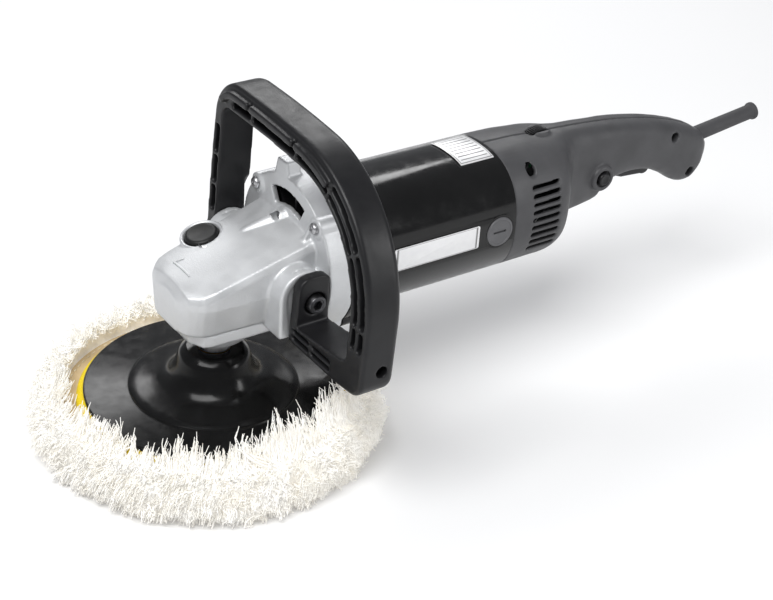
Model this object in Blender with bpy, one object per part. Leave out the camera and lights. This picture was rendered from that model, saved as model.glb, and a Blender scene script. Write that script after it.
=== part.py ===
"""Rotary polisher: angle-drive polisher with a wool pad, a D-shaped front handle and a rear grip.

The origin is the centre of the wool pad's working face, on the spindle's axis. +Z is up the
spindle and +X runs back along the motor to the grip. Every size below is in millimetres, and
`finish` turns it into Blender's metres as the mesh is made.
"""

import math

import bmesh
import bpy
from mathutils import Matrix, Vector

for old in list(bpy.data.objects):
    bpy.data.objects.remove(old, do_unlink=True)

MM = 0.001
GAP = 0.3  # between two pieces that seat on or in each other
SHELL_WALL = 3.0

# Pad, from the working face up
WOOL_RADIUS = 126.0
WOOL_SHIFT = (-1.5, 6.0)  # how far off centre the wool was pressed onto its hook layer
WOOL_PILE = 17.5
WOOL_LIP = 37.5
LEATHER_RADIUS = 103.0
LEATHER_THICKNESS = 1.9
HOOK_RADIUS = 93.0
HOOK_THICKNESS = 1.7
FOAM_RADIUS = 95.0
FOAM_THICKNESS = 9.7
PAD_HOLE_RADIUS = 9.0
PLATE_RADIUS = 90.0
PLATE_RIM = 3.0
PLATE_STEP_RADIUS = 58.5
HUB_HEIGHT = 32.0
HUB_TOP_RADIUS = 19.5
INSERT_RADIUS = 11.0

LEATHER_Z = WOOL_PILE + GAP
HOOK_Z = LEATHER_Z + LEATHER_THICKNESS + GAP
FOAM_Z = HOOK_Z + HOOK_THICKNESS + GAP
PLATE_Z = FOAM_Z + FOAM_THICKNESS + GAP
RIM_Z = PLATE_Z + PLATE_RIM
HUB_Z = RIM_Z + HUB_HEIGHT

# Gearbox heights
NOSE_Z = HUB_Z + 10.0
COVER_Z = NOSE_Z + 10.0
COVER_THICKNESS = 9.0
GEARBOX_Z = COVER_Z + COVER_THICKNESS + GAP
MOTOR_Z = GEARBOX_Z + 28.5
NOSE_RADIUS = 22.0
COVER_HALF_WIDTH = 31.0

# Gearbox casting; its flange matches the motor cover
MOTOR_HALF = 47.0
NOSE_X = -37.0
SHOULDER_X = -26.0
BODY_HALF_WIDTH = 34.5
BODY_REAR_HALF_WIDTH = 38.0
BODY_BOTTOM_TAPER = 0.88
TOP_Z = MOTOR_Z + 2.0
TOP_SLOPE = 0.287
GEAR_ROOM_RADIUS = 31.0
GEAR_ROOM_TOP = MOTOR_Z - 4.0
PINION_ROOM_RADIUS = 10.8
FLANGE_X = 55.0
FLANGE_WALL = 4.0
FLANGE_DEPTH = 20.0
FLANGE_RADIUS = MOTOR_HALF + 10.0
FAN_ROOM_RADIUS = 50.0
WINDOW_RADII = (35.0, 47.5)
WINDOW_HALF_ANGLE = 26.0
FLANGE_SCREW_CIRCLE = MOTOR_HALF + 6.0
LUG_RADIUS = 7.0
TOP_LUG_Y = 9.0
BOSS_X = 38.5
BOSS_HALF = 18.5

# Bevel gears: their pitch cones meet where the two axes cross
GEAR_TEETH = 26
PINION_TEETH = 8
GEAR_PITCH_RADIUS = 28.0
PINION_PITCH_RADIUS = GEAR_PITCH_RADIUS * PINION_TEETH / GEAR_TEETH
TOOTH_RISE = 1.15
TOOTH_ROOT = 1.9
TOOTH_FILL = 0.66
TOOTH_INNER = 0.68
LOCK_HOLES = 4
LOCK_HOLE_CIRCLE = 15.5
LOCK_HOLE_RADIUS = 3.1
WEB_TOP = MOTOR_Z - 12.5
WEB_THICKNESS = 4.0

# Spindle and its bearings
THREAD_RADIUS = 7.0
COLLAR_RADIUS = 11.5
SPINDLE_NECK = 8.0
SPINDLE_SEAT = 6.0
SPINDLE_TOP = 4.0
LOWER_BEARING_RADIUS = 16.0
LOWER_BEARING_Z = NOSE_Z + 6.0
LOWER_BEARING_WIDTH = 10.0
BUSH_RADIUS = 7.5
BUSH_HEIGHT = 9.0

# Spindle lock
LOCK_X = 1.5
LOCK_Y = 21.5
LOCK_RIM_RADIUS = 15.0
LOCK_RIM_Z = MOTOR_Z + 14.0
LOCK_BUTTON_RADIUS = 11.75
LOCK_BUTTON_TOP = MOTOR_Z + 18.0
LOCK_TRAVEL = 4.0
LOCK_FLOOR = MOTOR_Z + 1.0
LOCK_PIN_RADIUS = 2.5

# Motor
MOTOR_ROUNDNESS = 2.4
MOTOR_WALL = 3.5
MOTOR_END = 219.0
COLLAR_THICKNESS = 8.0
SHAFT_RADIUS = 5.0
SHAFT_END_RADIUS = 4.0
BEARING_RADIUS = 13.0
FRONT_BEARING_X = 36.0
FRONT_BEARING_WIDTH = 8.0
FAN_RADIUS = 44.0
FAN_BLADES = 12
CORE_X = 110.0
CORE_LENGTH = 65.0
ARMATURE_RADIUS = 25.5
FIELD_RADIUS = 42.0
AIR_GAP = 0.8
COMMUTATOR_RADIUS = 15.0
COMMUTATOR_LENGTH = 16.0
BRUSH_X = MOTOR_END - 14.0
BRUSH_CAP_RADIUS = 11.35
BRUSH_HOLDER_RADIUS = 9.0
REAR_BEARING_X = MOTOR_END
REAR_BEARING_WIDTH = 8.0
PLATE_THICKNESS = 0.7
RATING_X = (MOTOR_END - 33.0, MOTOR_END - 4.0)
RATING_Y = (-20.0, 17.0)
BADGE_X = (MOTOR_END - 106.0, MOTOR_END - 33.0)
BADGE_Z = (-7.5, 10.0)

# Rear grip: station along X, top, bottom (both above the motor's axis), half-width, and how
# square the section is
GRIP_STATIONS = (
    (MOTOR_END + GAP, MOTOR_HALF, -MOTOR_HALF, MOTOR_HALF, MOTOR_ROUNDNESS),
    (MOTOR_END + 29.0, MOTOR_HALF - 0.7, 0.2 - MOTOR_HALF, MOTOR_HALF - 0.2, MOTOR_ROUNDNESS),
    (MOTOR_END + 43.0, MOTOR_HALF - 2.0, 0.5 - MOTOR_HALF, MOTOR_HALF - 0.8, MOTOR_ROUNDNESS),
    (MOTOR_END + 53.0, 44.4, -43.0, 43.0, 2.5),
    (MOTOR_END + 60.0, 44.0, -36.5, 35.0, 2.7),
    (MOTOR_END + 66.0, 43.7, -31.0, 26.0, 2.9),
    (MOTOR_END + 75.0, 43.2, -27.0, 19.5, 3.1),
    (MOTOR_END + 93.0, 42.0, -24.5, 17.5, 3.4),
    (MOTOR_END + 108.0, 40.6, -21.5, 17.0, 3.4),
    (MOTOR_END + 114.0, 39.9, -12.0, 17.0, 3.4),
    (MOTOR_END + 123.0, 38.9, -8.0, 17.0, 3.4),
    (MOTOR_END + 141.0, 36.0, -6.0, 17.0, 3.4),
    (MOTOR_END + 161.0, 32.0, -9.0, 17.0, 3.4),
    (MOTOR_END + 179.0, 27.2, -17.5, 17.0, 3.4),
    (MOTOR_END + 194.0, 22.3, -27.0, 17.0, 3.4),
    (MOTOR_END + 207.0, 17.0, -28.0, 16.5, 3.3),
    (MOTOR_END + 215.0, 12.5, -21.0, 15.0, 3.1),
    (MOTOR_END + 221.0, 5.5, -12.0, 11.0, 2.9),
)
VENT_SLOTS = 9
VENT_X = (MOTOR_END + 17.0, MOTOR_END + 43.0)
VENT_TOP = MOTOR_Z + 26.0
VENT_PITCH = 6.1
VENT_HEIGHT = 3.2
SHELL_SCREWS = (
    (MOTOR_END + 20.0, MOTOR_HALF - 12.0, MOTOR_HALF - 23.0),
    (MOTOR_END + 181.0, 17.0, 13.5),
    (MOTOR_END + 203.0, -17.5, 13.0),
)
SCREW_BOSS_RADIUS = 4.6
TRIGGER_PIVOT = (MOTOR_END + 126.0, MOTOR_Z - 1.0)
TRIGGER_LENGTH = 40.0
TRIGGER_HALF_WIDTH = 9.0
LOCK_ON_X = MOTOR_END + 106.0
LOCK_ON_Z = MOTOR_Z + 1.0
LOCK_ON_RADIUS = 5.0
DIAL_X = MOTOR_END + 52.0
DIAL_RADIUS = 10.0
DIAL_HALF_WIDTH = 3.5
DIAL_Z = MOTOR_Z + 38.0
SLEEVE_X = MOTOR_END + 222.0
SLEEVE_Z = MOTOR_Z + 5.0
SLEEVE_LENGTH = 60.0
SLEEVE_RADIUS = 6.2
SLEEVE_BORE = 3.7
SLEEVE_TILT = 7.0

# D-handle: a bar in the plane across the tool, leaning back a little
HANDLE_DEPTH = 27.5
HANDLE_X = 28.0
HANDLE_LEAN = 0.06
BOLT_X = 42.0
BOLT_Z = MOTOR_Z - 5.0
BOLT_RADIUS = 4.0
BOLT_HEAD_RADIUS = 6.5
BOSS_FACE_Y = 51.2
FOOT_THICKNESS = 8.0
FOOT_TOP = 20.0
HANDLE_ARC_Z = BOLT_Z + 20.0
HANDLE_ARC_RADIUS = 97.0
HANDLE_CREST_Y = 22.0
HANDLE_FALL = 4.5  # degrees that the top bar has turned down by where the near arc takes over
HANDLE_BAR = 20.0
FAR_ARM = 10.5
FAR_CORNER = 29.0
HANDLE_NEAR_Y = -137.0
NEAR_CORNER = 12.0
HANDLE_BACK_ROUND = 9.0
HANDLE_LOW_Z = BOLT_Z - 28.0


# ---------------------------------------------------------------- shapes
def axis_matrix(centre, axis):
    """Turns a shape made along Z onto another axis, and moves it to its centre."""
    turn = {
        "X": Matrix.Rotation(math.pi / 2, 4, "Y"),
        "Y": Matrix.Rotation(-math.pi / 2, 4, "X"),
        "Z": Matrix.Identity(4),
    }[axis]
    return Matrix.Translation(centre) @ turn


def turned(profile, centre=(0, 0, 0), axis="Z", steps=20):
    """A solid of revolution. The profile is (radius, height) points; one that starts and ends
    on the axis closes there, and any other is a closed ring."""
    bm = bmesh.new()
    verts = [bm.verts.new((radius, 0, height)) for radius, height in profile]
    edges = [bm.edges.new(pair) for pair in zip(verts, verts[1:])]
    if profile[0][0] > 0:
        edges.append(bm.edges.new((verts[-1], verts[0])))
    bmesh.ops.spin(
        bm, geom=verts + edges, cent=(0, 0, 0), axis=(0, 0, 1),
        angle=2 * math.pi, steps=steps, use_merge=True,
    )
    bmesh.ops.remove_doubles(bm, verts=bm.verts, dist=0.0001)
    bmesh.ops.transform(bm, matrix=axis_matrix(centre, axis), verts=bm.verts)
    bmesh.ops.recalc_face_normals(bm, faces=bm.faces)
    return bm


def ring(inner, outer, low, high, centre=(0, 0, 0), axis="Z", steps=20):
    profile = ((inner, low), (outer, low), (outer, high), (inner, high))
    return turned(profile, centre, axis, steps)


def rod(radius, low, high, centre=(0, 0, 0), axis="Z", steps=16):
    """A plain cylinder between two heights along its axis."""
    bm = bmesh.new()
    bmesh.ops.create_cone(
        bm, cap_ends=True, segments=steps, radius1=radius, radius2=radius, depth=high - low,
    )
    bmesh.ops.translate(bm, vec=(0, 0, (low + high) / 2), verts=bm.verts)
    bmesh.ops.transform(bm, matrix=axis_matrix(centre, axis), verts=bm.verts)
    return bm


def prism(outline, low, high, axis="Z"):
    """A flat outline, in the other two axes in their XYZ order, pushed out along one axis."""
    place = {
        "X": lambda a, b, h: (h, a, b),
        "Y": lambda a, b, h: (a, h, b),
        "Z": lambda a, b, h: (a, b, h),
    }[axis]
    bm = bmesh.new()
    face = bm.faces.new([bm.verts.new(place(a, b, low)) for a, b in outline])
    pushed = bmesh.ops.extrude_face_region(bm, geom=[face])["geom"]
    moved = [item for item in pushed if isinstance(item, bmesh.types.BMVert)]
    shift = Vector(place(0, 0, high)) - Vector(place(0, 0, low))
    bmesh.ops.translate(bm, vec=shift, verts=moved)
    bmesh.ops.recalc_face_normals(bm, faces=bm.faces)
    return bm


def block(low, high):
    (x0, y0, z0), (x1, y1, z1) = low, high
    return prism(((x0, y0), (x1, y0), (x1, y1), (x0, y1)), z0, z1)


def loft(rings, closed=False):
    """Skin over rings of points. An open row of rings gets a cap at each end; a closed one
    joins its last ring to its first."""
    bm = bmesh.new()
    rows = [[bm.verts.new(point) for point in points] for points in rings]
    pairs = list(zip(rows, rows[1:]))
    if closed:
        pairs.append((rows[-1], rows[0]))
    for here, there in pairs:
        for i in range(len(here)):
            j = (i + 1) % len(here)
            bm.faces.new((here[i], here[j], there[j], there[i]))
    if not closed:
        bm.faces.new(rows[0])
        bm.faces.new(rows[-1])
    bmesh.ops.recalc_face_normals(bm, faces=bm.faces)
    return bm


def arc(centre, radius, start, end, count):
    """Points along an arc, angles in degrees."""
    found = []
    for i in range(count + 1):
        angle = math.radians(start + (end - start) * i / count)
        found.append((centre[0] + radius * math.cos(angle), centre[1] + radius * math.sin(angle)))
    return found


def oval(half_width, top, bottom, roundness, count=20):
    """A superellipse in Y and Z whose height may differ above and below."""
    middle = (top + bottom) / 2
    half_height = (top - bottom) / 2
    points = []
    for i in range(count):
        angle = 2 * math.pi * i / count
        c, s = math.cos(angle), math.sin(angle)
        y = math.copysign(abs(c) ** (2 / roundness), c) * half_width
        z = math.copysign(abs(s) ** (2 / roundness), s) * half_height
        points.append((y, middle + z))
    return points


def coil(centre, radius, wire, low, high, turns, axis="Z", sides=4, per_turn=8):
    """A round-wire spring with squared-off ends."""
    rings = []
    steps = turns * per_turn
    for i in range(steps + 1):
        turn = 2 * math.pi * i / per_turn
        height = low + wire + (high - low - 2 * wire) * i / steps
        points = []
        for k in range(sides):
            around = 2 * math.pi * k / sides
            r = radius + wire * math.cos(around)
            points.append((r * math.cos(turn), r * math.sin(turn), height + wire * math.sin(around)))
        rings.append(points)
    bm = loft(rings)
    if axis == "Y":
        bmesh.ops.transform(bm, matrix=Matrix.Rotation(-math.pi / 2, 4, "X"), verts=bm.verts)
    bmesh.ops.translate(bm, vec=centre, verts=bm.verts)
    return bm


def bevel_edges(bm, edges, width, segments=2):
    bmesh.ops.bevel(
        bm, geom=list(edges), offset=width, segments=segments, affect="EDGES", profile=0.5,
        clamp_overlap=True,
    )
    return bm


# ---------------------------------------------------------------- objects
def material(name, colour, roughness, metallic=0.0):
    made = bpy.data.materials.new(name)
    made.use_nodes = True
    shader = made.node_tree.nodes["Principled BSDF"]
    shader.inputs["Base Color"].default_value = (*colour, 1.0)
    shader.inputs["Roughness"].default_value = roughness
    shader.inputs["Metallic"].default_value = metallic
    made.diffuse_color = (*colour, 1.0)
    return made


def finish(bm, name, look, origin=(0, 0, 0), parent=None):
    """Makes the object, with its own origin at a point of its joint's axis."""
    bmesh.ops.translate(bm, vec=-Vector(origin), verts=bm.verts)
    bmesh.ops.scale(bm, vec=(MM, MM, MM), verts=bm.verts)
    mesh = bpy.data.meshes.new(name)
    bm.to_mesh(mesh)
    bm.free()
    mesh.shade_smooth()
    mesh.set_sharp_from_angle(angle=math.radians(35))
    made = bpy.data.objects.new(name, mesh)
    bpy.context.collection.objects.link(made)
    made.location = Vector(origin) * MM
    if parent:
        made.parent = parent
        made.location -= parent.location
    if look:
        colour, roughness, metallic = look
        mesh.materials.append(material(name, colour, roughness, metallic))
    return made


def combine(target, shapes, how):
    """A live Boolean with one hidden tool, made of shapes that stay clear of each other."""
    joined = bmesh.new()
    for shape in shapes:
        mesh = bpy.data.meshes.new("shape")
        shape.to_mesh(mesh)
        shape.free()
        joined.from_mesh(mesh)
        bpy.data.meshes.remove(mesh)
    tool = finish(joined, f"{target.name}_{how.lower()}", None)
    tool.hide_render = True
    tool.display_type = "WIRE"
    change = target.modifiers.new(how.title(), "BOOLEAN")
    change.operation = how
    change.object = tool


def add(target, *shapes):
    combine(target, shapes, "UNION")


def cut(target, *shapes):
    combine(target, shapes, "DIFFERENCE")


def axis_empty(name, place):
    made = bpy.data.objects.new(name, None)
    bpy.context.collection.objects.link(made)
    made.location = Vector(place) * MM
    return made


CAST = ((0.78, 0.79, 0.80), 0.38, 0.85)
STEEL = ((0.55, 0.56, 0.58), 0.3, 1.0)
DARK_STEEL = ((0.12, 0.12, 0.13), 0.4, 0.9)
COPPER = ((0.72, 0.33, 0.16), 0.35, 1.0)
BRASS = ((0.78, 0.6, 0.25), 0.3, 1.0)
GLOSS_BLACK = ((0.012, 0.012, 0.013), 0.12, 0.0)
NYLON = ((0.035, 0.035, 0.037), 0.45, 0.0)
GRIP_GREY = ((0.1, 0.1, 0.105), 0.42, 0.0)
CAP_GREY = ((0.16, 0.16, 0.165), 0.5, 0.0)
FOAM = ((0.95, 0.78, 0.02), 0.85, 0.0)
LEATHER = ((0.62, 0.5, 0.3), 0.7, 0.0)
WOOL = ((0.88, 0.85, 0.76), 0.95, 0.0)
SILVER = ((0.75, 0.75, 0.75), 0.35, 0.3)
CARBON = ((0.03, 0.03, 0.03), 0.6, 0.0)
BOARD = ((0.05, 0.2, 0.08), 0.5, 0.0)

spindle_axis = axis_empty("spindle_axis", (0, 0, RIM_Z))
motor_axis = axis_empty("motor_axis", (FLANGE_X, 0, MOTOR_Z))


# ---------------------------------------------------------------- pad
def make_pad():
    home = (0, 0, RIM_Z)
    pocket = LEATHER_RADIUS + 2 * GAP
    wool = (
        (0, 0),
        (WOOL_RADIUS - 24, 0),
        (WOOL_RADIUS - 11, 4.5),
        (WOOL_RADIUS - 3, 12),
        (WOOL_RADIUS, WOOL_LIP / 2),
        (WOOL_RADIUS - 3, WOOL_LIP - 8),
        (WOOL_RADIUS - 10, WOOL_LIP - 1),
        (WOOL_RADIUS - 16, WOOL_LIP),
        (pocket, WOOL_LIP - 3),
        (pocket, WOOL_PILE),
        (0, WOOL_PILE),
    )
    off_centre = (*WOOL_SHIFT, 0)
    finish(turned(wool, off_centre, steps=32), "wool_pile", WOOL, home, spindle_axis)
    leather_top = LEATHER_Z + LEATHER_THICKNESS
    leather = ring(PAD_HOLE_RADIUS, LEATHER_RADIUS, LEATHER_Z, leather_top, off_centre, steps=32)
    finish(leather, "leather_backing", LEATHER, home, spindle_axis)
    hook = ring(PAD_HOLE_RADIUS, HOOK_RADIUS, HOOK_Z, HOOK_Z + HOOK_THICKNESS, steps=32)
    finish(hook, "hook_layer", NYLON, home, spindle_axis)
    foam_top = FOAM_Z + FOAM_THICKNESS
    foam = (
        (PAD_HOLE_RADIUS, FOAM_Z),
        (FOAM_RADIUS - 0.5, FOAM_Z),
        (FOAM_RADIUS, FOAM_Z + 3),
        (PLATE_RADIUS, foam_top),
        (PAD_HOLE_RADIUS, foam_top),
    )
    finish(turned(foam, steps=32), "foam_pad", FOAM, home, spindle_axis)


def make_backing_plate():
    bore = INSERT_RADIUS + GAP
    plate = (
        (bore, PLATE_Z),
        (PLATE_RADIUS, PLATE_Z),
        (PLATE_RADIUS, RIM_Z - 1),
        (PLATE_RADIUS - 1.5, RIM_Z),
        (PLATE_STEP_RADIUS, RIM_Z + 1.5),
        (PLATE_STEP_RADIUS - 1, RIM_Z + 3),
        (45, RIM_Z + 4.5),
        (36, RIM_Z + 7),
        (30, RIM_Z + 12),
        (26.5, RIM_Z + 20),
        (24, HUB_Z - 4),
        (HUB_TOP_RADIUS + 1.5, HUB_Z - 0.8),
        (HUB_TOP_RADIUS, HUB_Z),
        (bore, HUB_Z),
    )
    home = (0, 0, RIM_Z)
    finish(turned(plate, steps=32), "backing_plate", GLOSS_BLACK, home, spindle_axis)
    insert = ring(THREAD_RADIUS + GAP, INSERT_RADIUS, PLATE_Z + 3, HUB_Z - 1, steps=24)
    finish(insert, "thread_insert", BRASS, home, spindle_axis)


# ---------------------------------------------------------------- spindle and gears
def toothed_rings(teeth, pitch_radius, mate_radius, phase):
    """The large and small ends of a straight bevel gear's teeth, as (radius, depth, angle)
    points: depth is measured along the gear's axis from where the two axes cross."""
    cone = math.hypot(pitch_radius, mate_radius)
    rise = (mate_radius / cone, -pitch_radius / cone)
    pitch = 2 * math.pi / teeth
    half = pitch / 4 * TOOTH_FILL
    ends = ([], [])
    for tooth in range(teeth):
        middle = phase + tooth * pitch
        corners = (
            (-half * 1.55, -TOOTH_ROOT),
            (-half * 0.62, TOOTH_RISE),
            (half * 0.62, TOOTH_RISE),
            (half * 1.55, -TOOTH_ROOT),
        )
        for turn, height in corners:
            radius = pitch_radius + height * rise[0]
            depth = mate_radius + height * rise[1]
            ends[0].append((radius, depth, middle + turn))
            ends[1].append((radius * TOOTH_INNER, depth * TOOTH_INNER, middle + turn))
    return ends


def gear_body(ends, circles, place):
    """Closes the teeth through plain circles of (radius, depth), as many points to each."""
    angles = [angle for radius, depth, angle in ends[0]]
    rings = [[place(*point) for point in end] for end in ends]
    rings += [[place(radius, depth, angle) for angle in angles] for radius, depth in circles]
    return loft(rings, closed=True)


def make_gears():
    def on_spindle(radius, depth, angle):
        return (radius * math.cos(angle), radius * math.sin(angle), MOTOR_Z - depth)

    def on_motor(radius, depth, angle):
        return (depth, radius * math.sin(angle), MOTOR_Z + radius * math.cos(angle))

    web_low = MOTOR_Z - WEB_TOP + WEB_THICKNESS
    inner = GEAR_PITCH_RADIUS * TOOTH_INNER - 1.0
    gap_at_front = math.pi / GEAR_TEETH
    ends = toothed_rings(GEAR_TEETH, GEAR_PITCH_RADIUS, PINION_PITCH_RADIUS, gap_at_front)
    crown = gear_body(ends, ((inner, web_low), (GEAR_PITCH_RADIUS, web_low)), on_spindle)
    gear = finish(crown, "bevel_gear", STEEL, (0, 0, MOTOR_Z), spindle_axis)
    seat = SPINDLE_SEAT + GAP
    hub_low = LOWER_BEARING_Z + LOWER_BEARING_WIDTH + 2
    hub = (
        (seat, hub_low),
        (11, hub_low),
        (11, WEB_TOP - WEB_THICKNESS),
        (inner + 1, WEB_TOP - WEB_THICKNESS),
        (inner + 1, WEB_TOP),
        (11, WEB_TOP),
        (11, WEB_TOP + 3),
        (seat, WEB_TOP + 3),
    )
    add(gear, turned(hub, steps=24))
    holes = []
    for i in range(LOCK_HOLES):
        angle = math.radians(90 + 360 / LOCK_HOLES * i)
        centre = (LOCK_HOLE_CIRCLE * math.cos(angle), LOCK_HOLE_CIRCLE * math.sin(angle), 0)
        holes.append(rod(LOCK_HOLE_RADIUS, WEB_TOP - 6, WEB_TOP + 2, centre, steps=12))
    cut(gear, *holes)

    ends = toothed_rings(PINION_TEETH, PINION_PITCH_RADIUS, GEAR_PITCH_RADIUS, math.pi)
    bore = SHAFT_END_RADIUS + GAP
    small = GEAR_PITCH_RADIUS * TOOTH_INNER
    back = FRONT_BEARING_X - 1.7
    circles = ((bore, small), (bore, back), (6.5, back), (6.5, GEAR_PITCH_RADIUS + 3.5))
    finish(gear_body(ends, circles, on_motor), "pinion", STEEL, (0, 0, MOTOR_Z), motor_axis)


def make_spindle():
    home = (0, 0, RIM_Z)
    top = GEAR_ROOM_TOP + BUSH_HEIGHT
    low = HUB_Z - 22
    shoulder = LOWER_BEARING_Z - GAP
    profile = (
        (0, low),
        (THREAD_RADIUS, low),
        (THREAD_RADIUS, HUB_Z + GAP),
        (COLLAR_RADIUS, HUB_Z + GAP),
        (COLLAR_RADIUS, HUB_Z + 7),
        (SPINDLE_NECK, HUB_Z + 7),
        (SPINDLE_NECK, shoulder),
        (SPINDLE_SEAT, shoulder),
        (SPINDLE_SEAT, WEB_TOP + 4),
        (SPINDLE_TOP, WEB_TOP + 4),
        (SPINDLE_TOP, top),
        (0, top),
    )
    finish(turned(profile), "spindle", STEEL, home, spindle_axis)
    bearing = ring(
        SPINDLE_SEAT + GAP, LOWER_BEARING_RADIUS,
        LOWER_BEARING_Z, LOWER_BEARING_Z + LOWER_BEARING_WIDTH,
    )
    finish(bearing, "lower_bearing", STEEL)
    bush = ring(SPINDLE_TOP + GAP, BUSH_RADIUS, GEAR_ROOM_TOP + 0.5, top, steps=24)
    finish(bush, "upper_bush", BRASS)


def make_spindle_lock():
    at_button = (LOCK_X, LOCK_Y, 0)
    at_pin = (0, LOCK_HOLE_CIRCLE, 0)
    home = (0, LOCK_HOLE_CIRCLE, LOCK_BUTTON_TOP)
    button_low = LOCK_FLOOR + LOCK_TRAVEL + GAP
    roof = LOCK_BUTTON_TOP - 3
    cap = (
        (0, button_low),
        (LOCK_BUTTON_RADIUS, button_low),
        (LOCK_BUTTON_RADIUS, LOCK_BUTTON_TOP - 1),
        (LOCK_BUTTON_RADIUS - 1, LOCK_BUTTON_TOP),
        (0, LOCK_BUTTON_TOP),
    )
    button = finish(turned(cap, at_button), "lock_button", CAP_GREY, home)
    recess = LOCK_PIN_RADIUS + 2.2
    cut(button, rod(recess, button_low - 1, roof, at_pin))
    tip = WEB_TOP + 0.9
    finish(rod(LOCK_PIN_RADIUS, tip, roof - GAP, at_pin, steps=16), "lock_pin", STEEL, home)
    spring = coil(at_pin, LOCK_PIN_RADIUS + 1.15, 0.45, LOCK_FLOOR + GAP, roof - GAP, 5)
    finish(spring, "lock_spring", STEEL)


# ---------------------------------------------------------------- gearbox casting
def body_shape():
    """The tapered box of the gearbox, with a sloping top and a blunt nose."""
    half = (
        (NOSE_X, 15.0),
        (NOSE_X + 3, 24.5),
        (SHOULDER_X, BODY_HALF_WIDTH - 1.5),
        (SHOULDER_X + 7, BODY_HALF_WIDTH),
        (FLANGE_X + 2, BODY_REAR_HALF_WIDTH),
    )
    outline = list(half) + [(x, -y) for x, y in reversed(half)]
    low = [(x if x > SHOULDER_X else x + 3, y * BODY_BOTTOM_TAPER, GEARBOX_Z) for x, y in outline]
    high = [(x, y, TOP_Z + TOP_SLOPE * (x - SHOULDER_X)) for x, y in outline]
    bm = loft((low, high))
    bm.faces.ensure_lookup_table()
    top = max(bm.faces, key=lambda face: face.calc_center_median().z)
    nose = [edge for edge in top.edges if min(v.co.x for v in edge.verts) < FLANGE_X]
    return bevel_edges(bm, nose, 6.0, 3)


def arch(x, z_low, z_top, radius):
    """A plate outline in X and Z with a half-round top."""
    return [(x - radius, z_low), (x + radius, z_low)] + arc((x, z_top - radius), radius, 0, 180, 10)


def window(middle):
    inner, outer = WINDOW_RADII
    span = WINDOW_HALF_ANGLE
    centre = (0, MOTOR_Z)
    outline = arc(centre, outer, middle - span, middle + span, 8)
    outline += arc(centre, inner, middle + span, middle - span, 8)
    return prism(outline, FLANGE_X - 2, FLANGE_X + FLANGE_WALL + 2, "X")


def corner_screw_places():
    spread = FLANGE_SCREW_CIRCLE / math.sqrt(2)
    return [(y * spread, MOTOR_Z + z * spread) for y in (-1, 1) for z in (-1, 1)]


def make_gear_housing():
    flange_rear = FLANGE_X + FLANGE_DEPTH
    on_motor = (0, 0, MOTOR_Z)
    housing = finish(body_shape(), "gear_housing", CAST)
    add(housing, rod(FLANGE_RADIUS, FLANGE_X, flange_rear, on_motor, "X", 36))
    lug = (LUG_RADIUS, FLANGE_X - 1.5, flange_rear - 0.4)
    add(housing, *[rod(*lug, (0, y, z), "X", 16) for y, z in corner_screw_places()])
    lug_low, lug_top = MOTOR_Z + FLANGE_RADIUS - 9, MOTOR_Z + FLANGE_RADIUS + 10
    top_lug = [(TOP_LUG_Y + y, z) for y, z in ((-11, lug_low), (11, lug_low), (6, lug_top), (-6, lug_top))]
    add(housing, prism(top_lug, FLANGE_X + 0.4, FLANGE_X + 11, "X"))
    outline = arch(BOSS_X, BOLT_Z - 27, BOLT_Z + 20, BOSS_HALF)
    root = COVER_HALF_WIDTH + GAP
    add(housing, *[prism(outline, *sorted((side * root, side * BOSS_FACE_Y)), "Y") for side in (-1, 1)])
    add(housing, rod(LOCK_RIM_RADIUS, LOCK_FLOOR - 6, LOCK_RIM_Z, (LOCK_X, LOCK_Y, 0), steps=28))
    add(housing, rod(6, 30, FLANGE_X + 1, (0, 0, MOTOR_Z + 23), "X", 16))

    cut(housing, rod(GEAR_ROOM_RADIUS, GEARBOX_Z - 5, GEAR_ROOM_TOP, steps=36))
    cut(housing, rod(PINION_ROOM_RADIUS, 15, FRONT_BEARING_X, on_motor, "X", 18))
    bearing_end = FRONT_BEARING_X + FRONT_BEARING_WIDTH + GAP
    cut(housing, rod(BEARING_RADIUS + GAP, FRONT_BEARING_X - 0.5, bearing_end, on_motor, "X"))
    cut(housing, rod(FAN_ROOM_RADIUS, FLANGE_X + FLANGE_WALL, flange_rear + 2, on_motor, "X", 36))
    shaft_hole = rod(SHAFT_RADIUS + 3, 40, FLANGE_X + FLANGE_WALL + 2, on_motor, "X", 16)
    cut(housing, shaft_hole, window(90), window(270))
    cut(housing, rod(BUSH_RADIUS + GAP, GEAR_ROOM_TOP - 2, GEAR_ROOM_TOP + BUSH_HEIGHT + GAP, steps=18))
    cut(housing, rod(LOCK_BUTTON_RADIUS + GAP, LOCK_FLOOR, LOCK_RIM_Z + 5, (LOCK_X, LOCK_Y, 0), steps=24))
    at_pin = (0, LOCK_HOLE_CIRCLE, 0)
    cut(housing, rod(LOCK_PIN_RADIUS + GAP, GEAR_ROOM_TOP - 2, LOCK_FLOOR + 2, at_pin, steps=12))
    hole = (2.3, FLANGE_X - 5, flange_rear + 3)
    cut(housing, *[rod(*hole, (0, y, z), "X", 10) for y, z in corner_screw_places()])
    bolt_holes = []
    for side in (-1, 1):
        low, high = sorted((side * (BOSS_FACE_Y - 14), side * (BOSS_FACE_Y + 2)))
        bolt_holes.append(rod(BOLT_RADIUS + GAP, low, high, (BOLT_X, 0, BOLT_Z), "Y", 14))
    cut(housing, *bolt_holes)
    holes = [rod(1.9, GEARBOX_Z - 2, GEARBOX_Z + 8, (x, y, 0), steps=8) for x, y in cover_screw_places()]
    cut(housing, *holes)


def cover_screw_places():
    return [(x, y) for x in (-20.5, 21.5) for y in (-24.5, 24.5)]


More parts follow.
